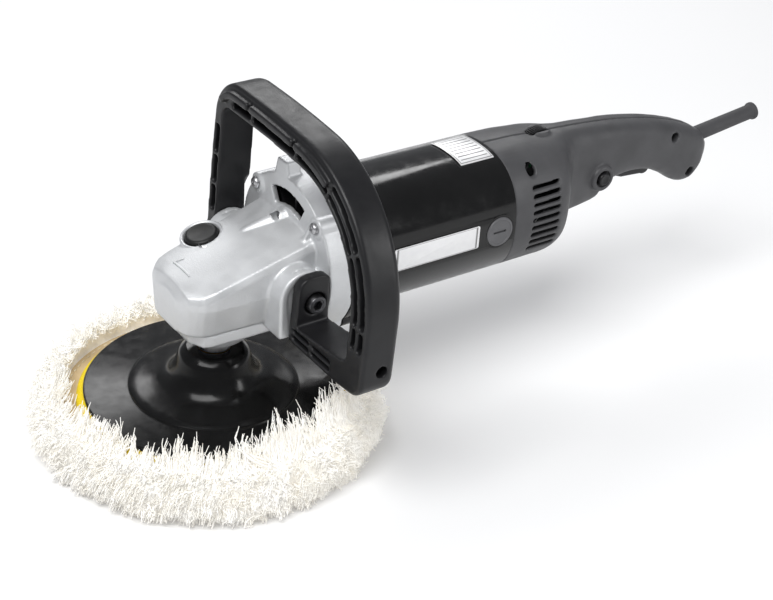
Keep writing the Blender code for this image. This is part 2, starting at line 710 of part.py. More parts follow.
def make_bearing_cover():
    half = (
        (NOSE_X + 7, 17.0),
        (SHOULDER_X + 2, COVER_HALF_WIDTH - 3),
        (SHOULDER_X + 8, COVER_HALF_WIDTH - 1),
        (26.0, COVER_HALF_WIDTH),
    )
    outline = list(half) + [(x, -y) for x, y in reversed(half)]
    plate = prism(outline, COVER_Z, COVER_Z + COVER_THICKNESS)
    cover = finish(plate, "bearing_cover", CAST)
    core = SPINDLE_NECK - 3
    nose = (
        (core, NOSE_Z),
        (NOSE_RADIUS, NOSE_Z),
        (NOSE_RADIUS + 2, NOSE_Z + 2),
        (NOSE_RADIUS + 4, COVER_Z + 1),
        (core, COVER_Z + 1),
    )
    add(cover, turned(nose, steps=28))
    cut(cover, rod(LOWER_BEARING_RADIUS + GAP, LOWER_BEARING_Z - GAP, COVER_Z + 20, steps=28))
    cut(cover, rod(SPINDLE_NECK + 1, NOSE_Z - 1, COVER_Z, steps=20))
    places = [(x, y, 0) for x, y in cover_screw_places()]
    cut(cover, *[rod(1.9, COVER_Z - 2, COVER_Z + 20, place, steps=8) for place in places])
    cut(cover, *[rod(3.6, COVER_Z - 2, COVER_Z + 3, place, steps=12) for place in places])
    for i, (x, y) in enumerate(cover_screw_places(), 1):
        screw = ((0, COVER_Z), (3.2, COVER_Z), (3.2, COVER_Z + 2.6), (1.5, COVER_Z + 2.6),
                 (1.5, GEARBOX_Z + 7), (0, GEARBOX_Z + 7))
        finish(turned(screw, (x, y, 0), steps=10), f"cover_screw_{i}", DARK_STEEL)


def make_flange_screws():
    front = FLANGE_X - 1.5 - GAP
    for i, (y, z) in enumerate(corner_screw_places(), 1):
        tail = FLANGE_X + FLANGE_DEPTH + COLLAR_THICKNESS - 1
        screw = ((0, front - 3), (3.3, front - 3), (4.2, front - 1.5), (4.2, front), (2, front),
                 (2, tail), (0, tail))
        finish(turned(screw, (0, y, z), "X", 12), f"flange_screw_{i}", DARK_STEEL)


# ---------------------------------------------------------------- motor
def make_armature():
    home = (FLANGE_X, 0, MOTOR_Z)
    on_motor = (0, 0, MOTOR_Z)
    bore = SHAFT_RADIUS + GAP
    step = FRONT_BEARING_X - 1
    tail = REAR_BEARING_X + REAR_BEARING_WIDTH + 1
    neck = REAR_BEARING_X - 2
    shaft = (
        (0, 17),
        (SHAFT_END_RADIUS, 17),
        (SHAFT_END_RADIUS, step),
        (SHAFT_RADIUS, step),
        (SHAFT_RADIUS, neck),
        (SHAFT_END_RADIUS, neck),
        (SHAFT_END_RADIUS, tail),
        (0, tail),
    )
    finish(turned(shaft, on_motor, "X", 20), "armature_shaft", STEEL, home, motor_axis)

    core_end = CORE_X + CORE_LENGTH
    core_bore = ARMATURE_RADIUS - 6
    core = ring(core_bore, ARMATURE_RADIUS, CORE_X, core_end, on_motor, "X")
    finish(core, "armature_core", DARK_STEEL, home, motor_axis)
    bulge = ARMATURE_RADIUS - 2
    inside = core_bore - GAP
    winding = (
        (bore, CORE_X - 12),
        (bulge - 4, CORE_X - 12),
        (bulge, CORE_X - 8),
        (bulge, CORE_X - GAP),
        (inside, CORE_X - GAP),
        (inside, core_end + GAP),
        (bulge, core_end + GAP),
        (bulge, core_end + 8),
        (bulge - 4, core_end + 12),
        (bore, core_end + 12),
    )
    finish(turned(winding, on_motor, "X"), "armature_winding", COPPER, home, motor_axis)
    half = COMMUTATOR_LENGTH / 2
    commutator = ring(bore, COMMUTATOR_RADIUS, BRUSH_X - half, BRUSH_X + half, on_motor, "X")
    finish(commutator, "commutator", COPPER, home, motor_axis)

    front = FLANGE_X + FLANGE_WALL + 3
    outline = []
    for i in range(FAN_BLADES):
        middle = 2 * math.pi * i / FAN_BLADES
        for radius, half_width in ((12, -2), (FAN_RADIUS - 1, -0.9), (FAN_RADIUS - 1, 0.9), (12, 2)):
            angle = middle + half_width / radius
            outline.append((radius * math.cos(angle), MOTOR_Z + radius * math.sin(angle)))
    fan = finish(prism(outline, front, front + 10.5, "X"), "fan", NYLON, home, motor_axis)
    add(fan, rod(FAN_RADIUS, front + 9.5, front + 11.5, on_motor, "X"))
    add(fan, rod(13, front - 1, front + 11, on_motor, "X"))
    cut(fan, rod(bore, front - 5, front + 20, on_motor, "X", 20))

    bearings = (
        ("front_bearing", FRONT_BEARING_X, FRONT_BEARING_WIDTH, SHAFT_RADIUS),
        ("rear_bearing", REAR_BEARING_X, REAR_BEARING_WIDTH, SHAFT_END_RADIUS),
    )
    for name, x, width, seat in bearings:
        finish(ring(seat + GAP, BEARING_RADIUS, x, x + width, on_motor, "X"), name, STEEL)


def sector(inner, outer, start, end, low, high):
    centre = (0, MOTOR_Z)
    outline = arc(centre, outer, start, end, 10) + arc(centre, inner, end, start, 10)
    return prism(outline, low, high, "X")


def make_field():
    on_motor = (0, 0, MOTOR_Z)
    bore = ARMATURE_RADIUS + AIR_GAP
    slot_inner = bore + 2.3
    slot_outer = FIELD_RADIUS - 6.5
    slot_half = 34
    end = CORE_X + CORE_LENGTH
    core = finish(ring(bore, FIELD_RADIUS, CORE_X, end, on_motor, "X", 40), "field_core", DARK_STEEL)
    for middle in (0, 180):
        opening = sector(5, slot_outer, middle - slot_half, middle + slot_half, CORE_X - 2, end + 2)
        cut(core, opening)
    for name, middle in (("field_winding_upper", 90), ("field_winding_lower", 270)):
        span = 85
        shape = sector(slot_inner, slot_outer - GAP, middle - span, middle + span,
                       CORE_X - 11, end + 11)
        winding = finish(shape, name, COPPER)
        pole = 90 - slot_half + 2
        opening = sector(slot_inner - 3, slot_outer + 3, middle - pole, middle + pole,
                         CORE_X - 2, end + 2)
        cut(winding, opening)


def squircle_bar(half, low, high, roundness=MOTOR_ROUNDNESS, count=24):
    outline = oval(half, MOTOR_Z + half, MOTOR_Z - half, roundness, count)
    return prism(outline, low, high, "X")


def make_motor_housing():
    on_motor = (0, 0, MOTOR_Z)
    front = FLANGE_X + FLANGE_DEPTH + GAP
    wall_x = MOTOR_END - 4.5
    seat = BEARING_RADIUS + GAP
    bar = squircle_bar(MOTOR_HALF, front + 1, MOTOR_END)
    housing = finish(bar, "motor_housing", GLOSS_BLACK)
    add(housing, rod(FLANGE_RADIUS, front, front + COLLAR_THICKNESS, on_motor, "X", 36))
    lug = (LUG_RADIUS, front + 0.3, front + COLLAR_THICKNESS - 0.5)
    add(housing, *[rod(*lug, (0, y, z), "X", 16) for y, z in corner_screw_places()])
    cut(housing, squircle_bar(MOTOR_HALF - MOTOR_WALL, front - 1, wall_x))
    cup_end = REAR_BEARING_X + REAR_BEARING_WIDTH + 1
    add(housing, rod(seat + SHELL_WALL, wall_x + 1, cup_end, on_motor, "X"))
    cut(housing, rod(seat, MOTOR_END - 2, cup_end + 2, on_motor, "X"))
    cut(housing, rod(SHAFT_RADIUS + 2, wall_x - 5, MOTOR_END, on_motor, "X", 16))
    at_brush = (BRUSH_X, 0, MOTOR_Z)
    bosses = []
    bores = []
    mouths = []
    for side in (-1, 1):
        boss = sorted((side * 26, side * (MOTOR_HALF - 0.5)))
        bore = sorted((side * 20, side * (MOTOR_HALF + 5)))
        mouth = sorted((side * (MOTOR_HALF - 3), side * (MOTOR_HALF + 5)))
        bosses.append(rod(BRUSH_CAP_RADIUS + 1.6, *boss, at_brush, "Y"))
        bores.append(rod(BRUSH_HOLDER_RADIUS + GAP, *bore, at_brush, "Y"))
        mouths.append(rod(BRUSH_CAP_RADIUS + GAP, *mouth, at_brush, "Y"))
    add(housing, *bosses)
    cut(housing, *bores)
    cut(housing, *mouths)
    hole = (2.3, front - 3, front + COLLAR_THICKNESS + 2)
    cut(housing, *[rod(*hole, (0, y, z), "X", 10) for y, z in corner_screw_places()])


def make_brushes():
    at_brush = (BRUSH_X, 0, MOTOR_Z)
    tip = COMMUTATOR_RADIUS + GAP
    for name, side in (("left", -1), ("right", 1)):
        holder_low = COMMUTATOR_RADIUS + 3
        holder_high = MOTOR_HALF - 3 - GAP
        holder = finish(
            rod(BRUSH_HOLDER_RADIUS, *sorted((side * holder_low, side * holder_high)), at_brush, "Y"),
            f"brush_holder_{name}", BRASS,
        )
        y0, y1 = sorted((side * (holder_low - 1), side * (holder_high + 1)))
        cut(holder, block((BRUSH_X - 3.3, y0, MOTOR_Z - 5.3), (BRUSH_X + 3.3, y1, MOTOR_Z + 5.3)))
        y0, y1 = sorted((side * tip, side * (tip + 16)))
        carbon = block((BRUSH_X - 3, y0, MOTOR_Z - 5), (BRUSH_X + 3, y1, MOTOR_Z + 5))
        finish(carbon, f"carbon_brush_{name}", CARBON)
        y0, y1 = sorted((side * (tip + 16 + GAP), side * holder_high))
        spring = coil((BRUSH_X, 0, MOTOR_Z), 2.4, 0.4, y0, y1, 4, "Y")
        finish(spring, f"brush_spring_{name}", STEEL)
        y0, y1 = sorted((side * (MOTOR_HALF - 3 + GAP), side * (MOTOR_HALF + 0.6)))
        cap = finish(rod(BRUSH_CAP_RADIUS, y0, y1, at_brush, "Y"), f"brush_cap_{name}", CAP_GREY)
        y0, y1 = sorted((side * (MOTOR_HALF - 0.9), side * (MOTOR_HALF + 3)))
        cut(cap, block((BRUSH_X - 4.5, y0, MOTOR_Z - 0.8), (BRUSH_X + 4.5, y1, MOTOR_Z + 0.8)))


def motor_top(y, stand_off):
    """How high the motor cover's upper surface lies at a distance from its centre line."""
    share = (abs(y) / MOTOR_HALF) ** MOTOR_ROUNDNESS
    return MOTOR_Z + MOTOR_HALF * (1 - share) ** (1 / MOTOR_ROUNDNESS) + stand_off


def make_plates():
    """The blank rating plate across the motor's top and the blank badge on its near side."""
    ys = [RATING_Y[0] + (RATING_Y[1] - RATING_Y[0]) * i / 8 for i in range(9)]
    outline = [(y, motor_top(y, GAP + PLATE_THICKNESS)) for y in ys]
    outline += [(y, motor_top(y, GAP)) for y in reversed(ys)]
    finish(prism(outline, *RATING_X, "X"), "rating_plate", SILVER)
    face = -MOTOR_HALF - GAP
    low = (BADGE_X[0], face - PLATE_THICKNESS, MOTOR_Z + BADGE_Z[0])
    finish(block(low, (BADGE_X[1], face, MOTOR_Z + BADGE_Z[1])), "badge_plate", SILVER)


# ---------------------------------------------------------------- rear grip
def grip_rings(inset):
    rings = []
    for x, top, bottom, half, roundness in GRIP_STATIONS:
        shape = oval(half - inset, MOTOR_Z + top - inset, MOTOR_Z + bottom + inset, roundness)
        rings.append([(x, y, z) for y, z in shape])
    return rings


def grip_inside():
    rings = grip_rings(SHELL_WALL)[:-1]
    first = [(x - 2, y, z) for x, y, z in rings[0]]
    return loft([first] + rings)


def sleeve_place():
    tilt = Matrix.Rotation(-math.radians(SLEEVE_TILT), 4, "Y")
    return Matrix.Translation((SLEEVE_X, 0, SLEEVE_Z)) @ tilt


def tilted(bm):
    bmesh.ops.transform(bm, matrix=sleeve_place(), verts=bm.verts)
    return bm


def make_grip():
    for name, side in (("left", -1), ("right", 1)):
        shell = finish(loft(grip_rings(0)), f"handle_shell_{name}", GRIP_GREY)
        far = 60 * side
        y0, y1 = sorted((-far, side * GAP / 2))
        cut(shell, grip_inside())
        if side < 0:
            add(shell, rod(10.5, -19.5, -13.5, (LOCK_ON_X, 0, LOCK_ON_Z), "Y"))
        bosses = []
        pilots = []
        mouths = []
        for x, z, reach in SHELL_SCREWS:
            centre = (x, 0, MOTOR_Z + z)
            boss = sorted((side * (reach + 2), -side * 5))
            pilot = sorted((side * (reach - 5), -side * 5))
            bosses.append(rod(SCREW_BOSS_RADIUS, *boss, centre, "Y", 12))
            pilots.append(rod(2.1, *pilot, centre, "Y", 10))
            mouths.append(rod(4.0, -60, -(reach - 8), centre, "Y", 12))
        add(shell, *bosses)
        cut(shell, block((MOTOR_END - 19, y0, 50), (SLEEVE_X + 19, y1, 200)))
        cut(shell, *pilots)
        if side < 0:
            cut(shell, *mouths)
        slots = []
        for i in range(VENT_SLOTS):
            z = VENT_TOP - i * VENT_PITCH
            y0, y1 = sorted((side * 24, side * 60))
            slots.append(block((VENT_X[0], y0, z - VENT_HEIGHT), (VENT_X[1], y1, z)))
        cut(shell, *slots)
        trigger_room = block(
            (TRIGGER_PIVOT[0] - 6, -TRIGGER_HALF_WIDTH - GAP, MOTOR_Z - 20),
            (TRIGGER_PIVOT[0] + TRIGGER_LENGTH + 3, TRIGGER_HALF_WIDTH + GAP, MOTOR_Z + 2),
        )
        dial_half = DIAL_HALF_WIDTH + 0.8
        dial_room = rod(DIAL_RADIUS + 1.5, -dial_half, dial_half, (DIAL_X, 0, DIAL_Z), "Y", 18)
        sleeve_hole = tilted(rod(SLEEVE_RADIUS + GAP, -13.5, 20, axis="X"))
        cut(shell, trigger_room, dial_room, sleeve_hole)
        if side < 0:
            at_button = (LOCK_ON_X, 0, LOCK_ON_Z)
            cut(shell, rod(LOCK_ON_RADIUS + 3, -30, -18, at_button, "Y", 18))
            cut(shell, rod(LOCK_ON_RADIUS + GAP, -30, -6, at_button, "Y", 16))


def make_shell_screws():
    for i, (x, z, reach) in enumerate(SHELL_SCREWS, 1):
        seat = -(reach - 8 + GAP)
        head = ((0, seat - 2.5), (3.6, seat - 2.5), (3.6, seat), (1.75, seat),
                (1.75, reach - 6), (0, reach - 6))
        finish(turned(head, (x, 0, MOTOR_Z + z), "Y", 12), f"shell_screw_{i}", DARK_STEEL)


def make_controls():
    x, z = TRIGGER_PIVOT
    end = x + TRIGGER_LENGTH
    outline = ((x - 3, z - 3), (x + 2, z - 6), (x + 10, z - 9), (end - 6, z - 11.5),
               (end, z - 6), (end, z + 4), (x - 3, z + 4))
    trigger = prism(outline, -TRIGGER_HALF_WIDTH, TRIGGER_HALF_WIDTH, "Y")
    finish(trigger, "trigger", NYLON, (x, 0, z))
    switch = block((x + 4, -9.5, z + 10), (end + 2, 9.5, z + 24))
    finish(switch, "switch_body", NYLON)

    at_button = (LOCK_ON_X, 0, LOCK_ON_Z)
    button = ((0, -22.5), (LOCK_ON_RADIUS - 0.6, -22.5), (LOCK_ON_RADIUS, -22), (LOCK_ON_RADIUS, -9),
              (5.9, -9), (5.9, -7.6), (0, -7.6))
    finish(turned(button, at_button, "Y", 20), "lock_on_button", NYLON, (LOCK_ON_X, -22, LOCK_ON_Z))

    at_dial = (DIAL_X, 0, DIAL_Z)
    outline = []
    for i in range(20):
        angle = 2 * math.pi * i / 20
        for radius, turn in ((DIAL_RADIUS - 0.7, -0.12), (DIAL_RADIUS, -0.06), (DIAL_RADIUS, 0.06)):
            a = angle + turn
            outline.append((DIAL_X + radius * math.cos(a), DIAL_Z + radius * math.sin(a)))
    dial = prism(outline, -DIAL_HALF_WIDTH, DIAL_HALF_WIDTH, "Y")
    finish(dial, "speed_dial", NYLON, at_dial)
    board_y = DIAL_HALF_WIDTH + 1.5
    board = block((DIAL_X - 16, board_y, DIAL_Z - 26), (DIAL_X + 12, board_y + 1.6, DIAL_Z - 1))
    finish(board, "control_board", BOARD)


def make_sleeve():
    end = SLEEVE_LENGTH
    profile = (
        (SLEEVE_BORE, -18),
        (SLEEVE_RADIUS + 1.6, -18),
        (SLEEVE_RADIUS + 1.6, -15),
        (SLEEVE_RADIUS, -15),
        (SLEEVE_RADIUS, end - 3),
        (SLEEVE_RADIUS + 1, end - 2.5),
        (SLEEVE_RADIUS + 1, end),
        (SLEEVE_BORE, end),
    )
    finish(tilted(turned(profile, axis="X", steps=20)), "cord_sleeve", GRIP_GREY)


# ---------------------------------------------------------------- D-handle
def handle_arch(inset):
    """The edge over the top bar and down the near side, from its crest: a shallow arc that
    runs smoothly into a tighter one."""
    near = (HANDLE_NEAR_Y + HANDLE_ARC_RADIUS, HANDLE_ARC_Z)
    radius = HANDLE_ARC_RADIUS - inset
    fall = math.radians(HANDLE_FALL)
    joint_y = near[0] - HANDLE_ARC_RADIUS * math.sin(fall)
    crown_radius = (HANDLE_CREST_Y - joint_y) / math.sin(fall)
    crown_z = HANDLE_ARC_Z - (crown_radius - HANDLE_ARC_RADIUS) * math.cos(fall)
    crown = arc((HANDLE_CREST_Y, crown_z), crown_radius - inset, 90, 90 + HANDLE_FALL, 2)
    return crown[:-1] + arc(near, radius, 90 + HANDLE_FALL, 180, 10)


def handle_outer():
    far = BOSS_FACE_Y + GAP + FAR_ARM
    over = handle_arch(0)
    corner = (far - FAR_CORNER, over[0][1] - FAR_CORNER)
    low = (HANDLE_NEAR_Y + NEAR_CORNER, HANDLE_LOW_Z + NEAR_CORNER)
    return arc(corner, FAR_CORNER, 0, 90, 5) + over + arc(low, NEAR_CORNER, 180, 270, 4)


def handle_outline():
    """The handle's loop in Y and Z: its outer edge from the far foot round to the near foot,
    then its inner edge back."""
    foot = BOSS_FACE_Y + GAP
    low = BOLT_Z - 17
    inner_y = HANDLE_NEAR_Y + HANDLE_BAR
    under = list(reversed(handle_arch(HANDLE_BAR)))
    points = [(foot + FAR_ARM, low)] + handle_outer()
    points += [(-foot, HANDLE_LOW_Z), (-foot, BOLT_Z + FOOT_TOP), (-foot - FOOT_THICKNESS, BOLT_Z + FOOT_TOP)]
    points += [(-foot - FOOT_THICKNESS, BOLT_Z - 15)]
    points += arc((inner_y + 5.5, BOLT_Z - 3), 6, -90, -180, 3)
    points += under
    points += arc((foot - 8, under[-1][1] - 8), 8, 90, 0, 3)
    points += [(foot, low)]
    return points


def make_d_handle():
    bm = prism(handle_outline(), 0, HANDLE_DEPTH, "X")
    outer = {(round(y, 2), round(z, 2)) for y, z in handle_outer()}
    behind = []
    for edge in bm.edges:
        ends = [(round(vert.co.y, 2), round(vert.co.z, 2)) for vert in edge.verts]
        if min(vert.co.x for vert in edge.verts) > HANDLE_DEPTH / 2 and outer.issuperset(ends):
            behind.append(edge)
    bevel_edges(bm, behind, HANDLE_BACK_ROUND, 3)
    for vert in bm.verts:
        vert.co.x += HANDLE_X + HANDLE_LEAN * (vert.co.z - BOLT_Z)
    handle = finish(bm, "d_handle", NYLON)
    for side in (-1, 1):
        outer = BOSS_FACE_Y + GAP + (FOOT_THICKNESS if side < 0 else FAR_ARM)
        seat = BOSS_FACE_Y + GAP + 4
        hole = sorted((side * (BOSS_FACE_Y - 2), side * (outer + 3)))
        mouth = sorted((side * seat, side * (outer + 3)))
        cut(handle, rod(BOLT_RADIUS + GAP, *hole, (BOLT_X, 0, BOLT_Z), "Y", 16))
        cut(handle, rod(BOLT_HEAD_RADIUS + 1.5, *mouth, (BOLT_X, 0, BOLT_Z), "Y"))
    clear = FLANGE_RADIUS + 6
    cut(handle, rod(clear, FLANGE_X - 2, FLANGE_X + FLANGE_DEPTH, (0, 0, MOTOR_Z), "X", 40))


def make_handle_bolts():
    for name, side in (("left", -1), ("right", 1)):
        seat = BOSS_FACE_Y + 2 * GAP + 4
        tip = BOSS_FACE_Y - 13
        profile = [(0, tip), (BOLT_RADIUS, tip), (BOLT_RADIUS, seat), (BOLT_HEAD_RADIUS, seat),
                   (BOLT_HEAD_RADIUS, seat + 7), (0, seat + 7)]
        bm = turned(profile, (BOLT_X, 0, BOLT_Z), "Y", 20)
        if side < 0:
            flip = Matrix.Scale(-1, 4, (0, 1, 0))
            bmesh.ops.transform(bm, matrix=flip, verts=bm.verts)
            bmesh.ops.reverse_faces(bm, faces=bm.faces)
        bolt = finish(bm, f"handle_bolt_{name}", DARK_STEEL)
        hexagon = [(BOLT_X + 3.4 * math.cos(math.radians(a)), BOLT_Z + 3.4 * math.sin(math.radians(a)))
                   for a in range(0, 360, 60)]
        cut(bolt, prism(hexagon, *sorted((side * (seat + 3), side * (seat + 9))), "Y"))


make_pad()
make_backing_plate()
make_spindle()
make_gears()
make_spindle_lock()
make_gear_housing()
make_bearing_cover()
make_flange_screws()
make_armature()
make_field()
make_motor_housing()
make_brushes()
make_plates()
make_grip()
make_shell_screws()
make_controls()
make_sleeve()
make_d_handle()
make_handle_bolts()
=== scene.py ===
# %% [markdown]
# # Rotary polisher
# The tool is a wool pad on a backing plate, a cast gearbox, a D-shaped handle, a black motor and
# a grey rear grip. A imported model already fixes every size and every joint. This lesson dresses
# that model: each visible part is modelled again with its fine shape and its own finish, and is
# told which moving body it rides on.

# %% Load the frame
import math
import random

import bpy
from mathutils import Matrix, Vector


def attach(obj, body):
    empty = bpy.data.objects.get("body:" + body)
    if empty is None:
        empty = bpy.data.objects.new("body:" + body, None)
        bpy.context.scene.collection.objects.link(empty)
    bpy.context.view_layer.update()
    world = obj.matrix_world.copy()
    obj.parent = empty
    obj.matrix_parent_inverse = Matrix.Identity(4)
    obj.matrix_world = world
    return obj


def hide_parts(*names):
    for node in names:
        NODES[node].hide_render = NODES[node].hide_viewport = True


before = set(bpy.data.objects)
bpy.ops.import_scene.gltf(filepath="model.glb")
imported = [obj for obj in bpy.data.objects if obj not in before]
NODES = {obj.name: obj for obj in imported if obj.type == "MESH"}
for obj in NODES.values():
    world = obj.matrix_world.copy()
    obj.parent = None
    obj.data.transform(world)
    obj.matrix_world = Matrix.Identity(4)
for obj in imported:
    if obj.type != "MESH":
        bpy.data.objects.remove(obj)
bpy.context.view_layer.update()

MM = 0.001

# %% [markdown]
# ## Studio
# A product like this is shown on a seamless pale sweep, with one broad light high on the left and
# weaker ones to open up the shadows. The camera is long, so that the tool keeps its proportions.

# %% Camera, floor and lights
scene = bpy.context.scene
scene.view_settings.view_transform = "Standard"

camera_data = bpy.data.cameras.new("camera")
camera_data.lens = 80.24
camera_data.sensor_width = 36.0
camera_data.clip_end = 50.0
camera = bpy.data.objects.new("camera", camera_data)
scene.collection.objects.link(camera)
right, up, back = (0.8227, -0.5647, 0.0630), (0.2503, 0.4595, 0.8520), (-0.5104, -0.6853, 0.5195)
seat = (-0.4992, -0.8641, 0.7154)
rows = [(*row, place) for *row, place in zip(right, up, back, seat)]
camera.matrix_world = Matrix(rows + [(0, 0, 0, 1)])
scene.camera = camera

world = bpy.data.worlds.new("studio")
scene.world = world
world.use_nodes = True
world.node_tree.nodes["Background"].inputs["Color"].default_value = (0.93, 0.95, 1.0, 1)
world.node_tree.nodes["Background"].inputs["Strength"].default_value = 0.30


def studio_light(name, place, aim, size, power):
    lamp = bpy.data.lights.new(name, "AREA")
    lamp.shape = "RECTANGLE"
    lamp.size, lamp.size_y = size
    lamp.energy = power
    stand = bpy.data.objects.new(name, lamp)
    stand.location = place
    stand.rotation_euler = (Vector(aim) - Vector(place)).to_track_quat("-Z", "Y").to_euler()
    scene.collection.objects.link(stand)
    return stand


studio_light("key", (-0.9, -0.5, 1.9), (0.15, 0, 0.1), (1.5, 1.1), 44)
studio_light("side", (1.3, -1.6, 0.9), (0.2, 0, 0.12), (0.4, 1.2), 12)
studio_light("rear", (0.9, 1.5, 1.3), (0.15, 0, 0.12), (1.6, 0.5), 16)
print("camera and three lights")

# %% [markdown]
# ## Hand tools for modelling
# Everything is made the way it is by hand: a primitive or a drawn outline, then extrude, spin,
# bevel and Boolean. These helpers only wrap the operators, so that each part's own cell can say
# what it is in millimetres.

# %% Selecting and editing
def work_on(piece):
    bpy.ops.object.select_all(action="DESELECT")
    piece.select_set(True)
    bpy.context.view_layer.objects.active = piece


def edit(piece, kind="FACE", action="SELECT"):
    work_on(piece)
    bpy.ops.object.mode_set(mode="EDIT")
    bpy.ops.mesh.select_mode(type=kind)
    bpy.ops.mesh.select_all(action=action)


def leave():
    bpy.ops.object.mode_set(mode="OBJECT")


def pick_faces(piece, test):
    edit(piece, "FACE", "DESELECT")
    leave()
    for face in piece.data.polygons:
        face.select = bool(test(face.center / MM, face.normal))
    bpy.ops.object.mode_set(mode="EDIT")


def pick_edges(piece, test):
    edit(piece, "EDGE", "DESELECT")
    leave()
    points = piece.data.vertices
    for edge in piece.data.edges:
        edge.select = bool(test(*(points[i].co / MM for i in edge.vertices)))
    bpy.ops.object.mode_set(mode="EDIT")


def close_up(piece):
    """Merges what coincides and turns every face outwards."""
    edit(piece, "VERT")
    bpy.ops.mesh.remove_doubles(threshold=1e-6)
    bpy.ops.mesh.normals_make_consistent(inside=False)
    leave()
    return piece


def settle(piece, name):
    """Puts a new primitive's place into its mesh."""
    piece.name = piece.data.name = name
    work_on(piece)
    bpy.ops.object.transform_apply(location=True, rotation=True, scale=True)
    return piece


def set_down(piece, place):
    """Moves a piece that was made round an axis into a tilted place, given in millimetres."""
    metres = place.copy()
    metres.translation = place.translation * MM
    piece.matrix_world = metres
    return settle(piece, piece.name)


def bevel(width, segments=3):
    bpy.ops.mesh.bevel(offset=width * MM, segments=segments, affect="EDGES", clamp_overlap=True)
    leave()


# %% Rods, blocks, plates and turned shapes
TURNS = {"X": (0, math.pi / 2, 0), "Y": (-math.pi / 2, 0, 0), "Z": (0, 0, 0)}


def rod(name, radius, low, high, at=(0, 0, 0), axis="Z", sides=64, tip=None):
    along = "XYZ".index(axis)
    middle = [value * MM for value in at]
    middle[along] += (low + high) / 2 * MM
    size = dict(vertices=sides, depth=(high - low) * MM, location=middle, rotation=TURNS[axis])
    if tip is None:
        bpy.ops.mesh.primitive_cylinder_add(radius=radius * MM, end_fill_type="NGON", **size)
    else:
        size.update(radius1=radius * MM, radius2=tip * MM)
        bpy.ops.mesh.primitive_cone_add(end_fill_type="NGON", **size)
    return settle(bpy.context.object, name)


def block(name, low, high):
    low, high = Vector(low), Vector(high)
    bpy.ops.mesh.primitive_cube_add(size=1, location=(low + high) / 2 * MM)
    bpy.context.object.scale = (high - low) * MM
    return settle(bpy.context.object, name)


def drawn_line(name, points):
    """A bare line, drawn by pulling one vertex from point to point."""
    bpy.ops.object.select_all(action="DESELECT")
    bpy.ops.mesh.primitive_plane_add(size=MM)
    piece = bpy.context.object
    piece.name = piece.data.name = name
    edit(piece, "VERT")
    bpy.ops.mesh.merge(type="CENTER")
    bpy.ops.transform.translate(value=Vector(points[0]) * MM)
    for start, end in zip(points, points[1:]):
        step = (Vector(end) - Vector(start)) * MM
        bpy.ops.mesh.extrude_vertices_move(TRANSFORM_OT_translate={"value": step})
    leave()
    return piece


LAYOUT = {"X": lambda a, b, t: (t, a, b), "Y": lambda a, b, t: (a, t, b), "Z": lambda a, b, t: (a, b, t)}


def plate(name, outline, low, high, axis="Z"):
    """An outline drawn across an axis, filled and extruded along it."""
    place = LAYOUT[axis]
    piece = drawn_line(name, [place(a, b, low) for a, b in outline])
    edit(piece, "VERT")
    bpy.ops.mesh.edge_face_add()
    step = Vector(place(0, 0, high - low)) * MM
    bpy.ops.mesh.extrude_region_move(TRANSFORM_OT_translate={"value": step})
    leave()
    return close_up(piece)


def spun(name, profile, at=(0, 0, 0), axis="Z", steps=64, side=1):
    """A profile of (radius, distance along the axis) spun once round. Side -1 mirrors it."""
    shapes = {
        "X": lambda r, t: (t * side, 0, r),
        "Y": lambda r, t: (0, t * side, r),
        "Z": lambda r, t: (r, 0, t * side),
    }
    points = [Vector(shapes[axis](r, t)) + Vector(at) for r, t in profile]
    piece = drawn_line(name, points)
    edit(piece, "VERT")
    direction = [float(letter == axis) for letter in "XYZ"]
    bpy.ops.mesh.spin(steps=steps, angle=math.tau, center=Vector(at) * MM, axis=direction)
    leave()
    return close_up(piece)


def lofted(name, rings):
    """A closed skin over rings of equally many points, first and last ring filled."""
    count = len(rings[0])
    points = [Vector(point) * MM for ring in rings for point in ring]
    faces = [tuple(range(count)), tuple(range(len(points) - count, len(points)))]
    for start in range(0, len(points) - count, count):
        for i in range(count):
            j = (i + 1) % count
            faces.append((start + i, start + j, start + count + j, start + count + i))
    mesh = bpy.data.meshes.new(name)
    mesh.from_pydata(points, [], faces)
    piece = bpy.data.objects.new(name, mesh)
    scene.collection.objects.link(piece)
    return close_up(piece)


def arc(centre, radius, start, end, count):
    angles = [math.radians(start + (end - start) * i / count) for i in range(count + 1)]
    return [(centre[0] + radius * math.cos(a), centre[1] + radius * math.sin(a)) for a in angles]


# %% Booleans, soft edges and copies
def apply_all(piece):
    work_on(piece)
    for modifier in list(piece.modifiers):
        bpy.ops.object.modifier_apply(modifier=modifier.name)
    return piece


def combine(piece, operation, tools):
    for tool in tools:
        change = piece.modifiers.new(operation.lower(), "BOOLEAN")
        change.operation = operation
        change.solver = "EXACT"
        change.object = tool
        apply_all(piece)
        bpy.data.objects.remove(tool)
    return piece


def add(piece, *tools):
    return combine(piece, "UNION", tools)


def cut(piece, *tools):
    return combine(piece, "DIFFERENCE", tools)


def soften(piece, voxel, rounds):
    """An even fine mesh whose edges run over softly, as on castings and mouldings."""
    remesh = piece.modifiers.new("even", "REMESH")
    remesh.mode = "VOXEL"
    remesh.voxel_size = voxel * MM
    relax = piece.modifiers.new("relax", "SMOOTH")
    relax.factor = 0.5
    relax.iterations = rounds
    apply_all(piece)
    bpy.ops.object.shade_smooth()
    return piece


def round_edges(piece, width, segments=2, over=30):
    """Bevels every edge sharper than an angle."""
    change = piece.modifiers.new("edges", "BEVEL")
    change.width = width * MM
    change.segments = segments
    change.limit_method = "ANGLE"
    change.angle_limit = math.radians(over)
    apply_all(piece)
    bpy.ops.object.shade_smooth_by_angle(angle=math.radians(35))
    return piece


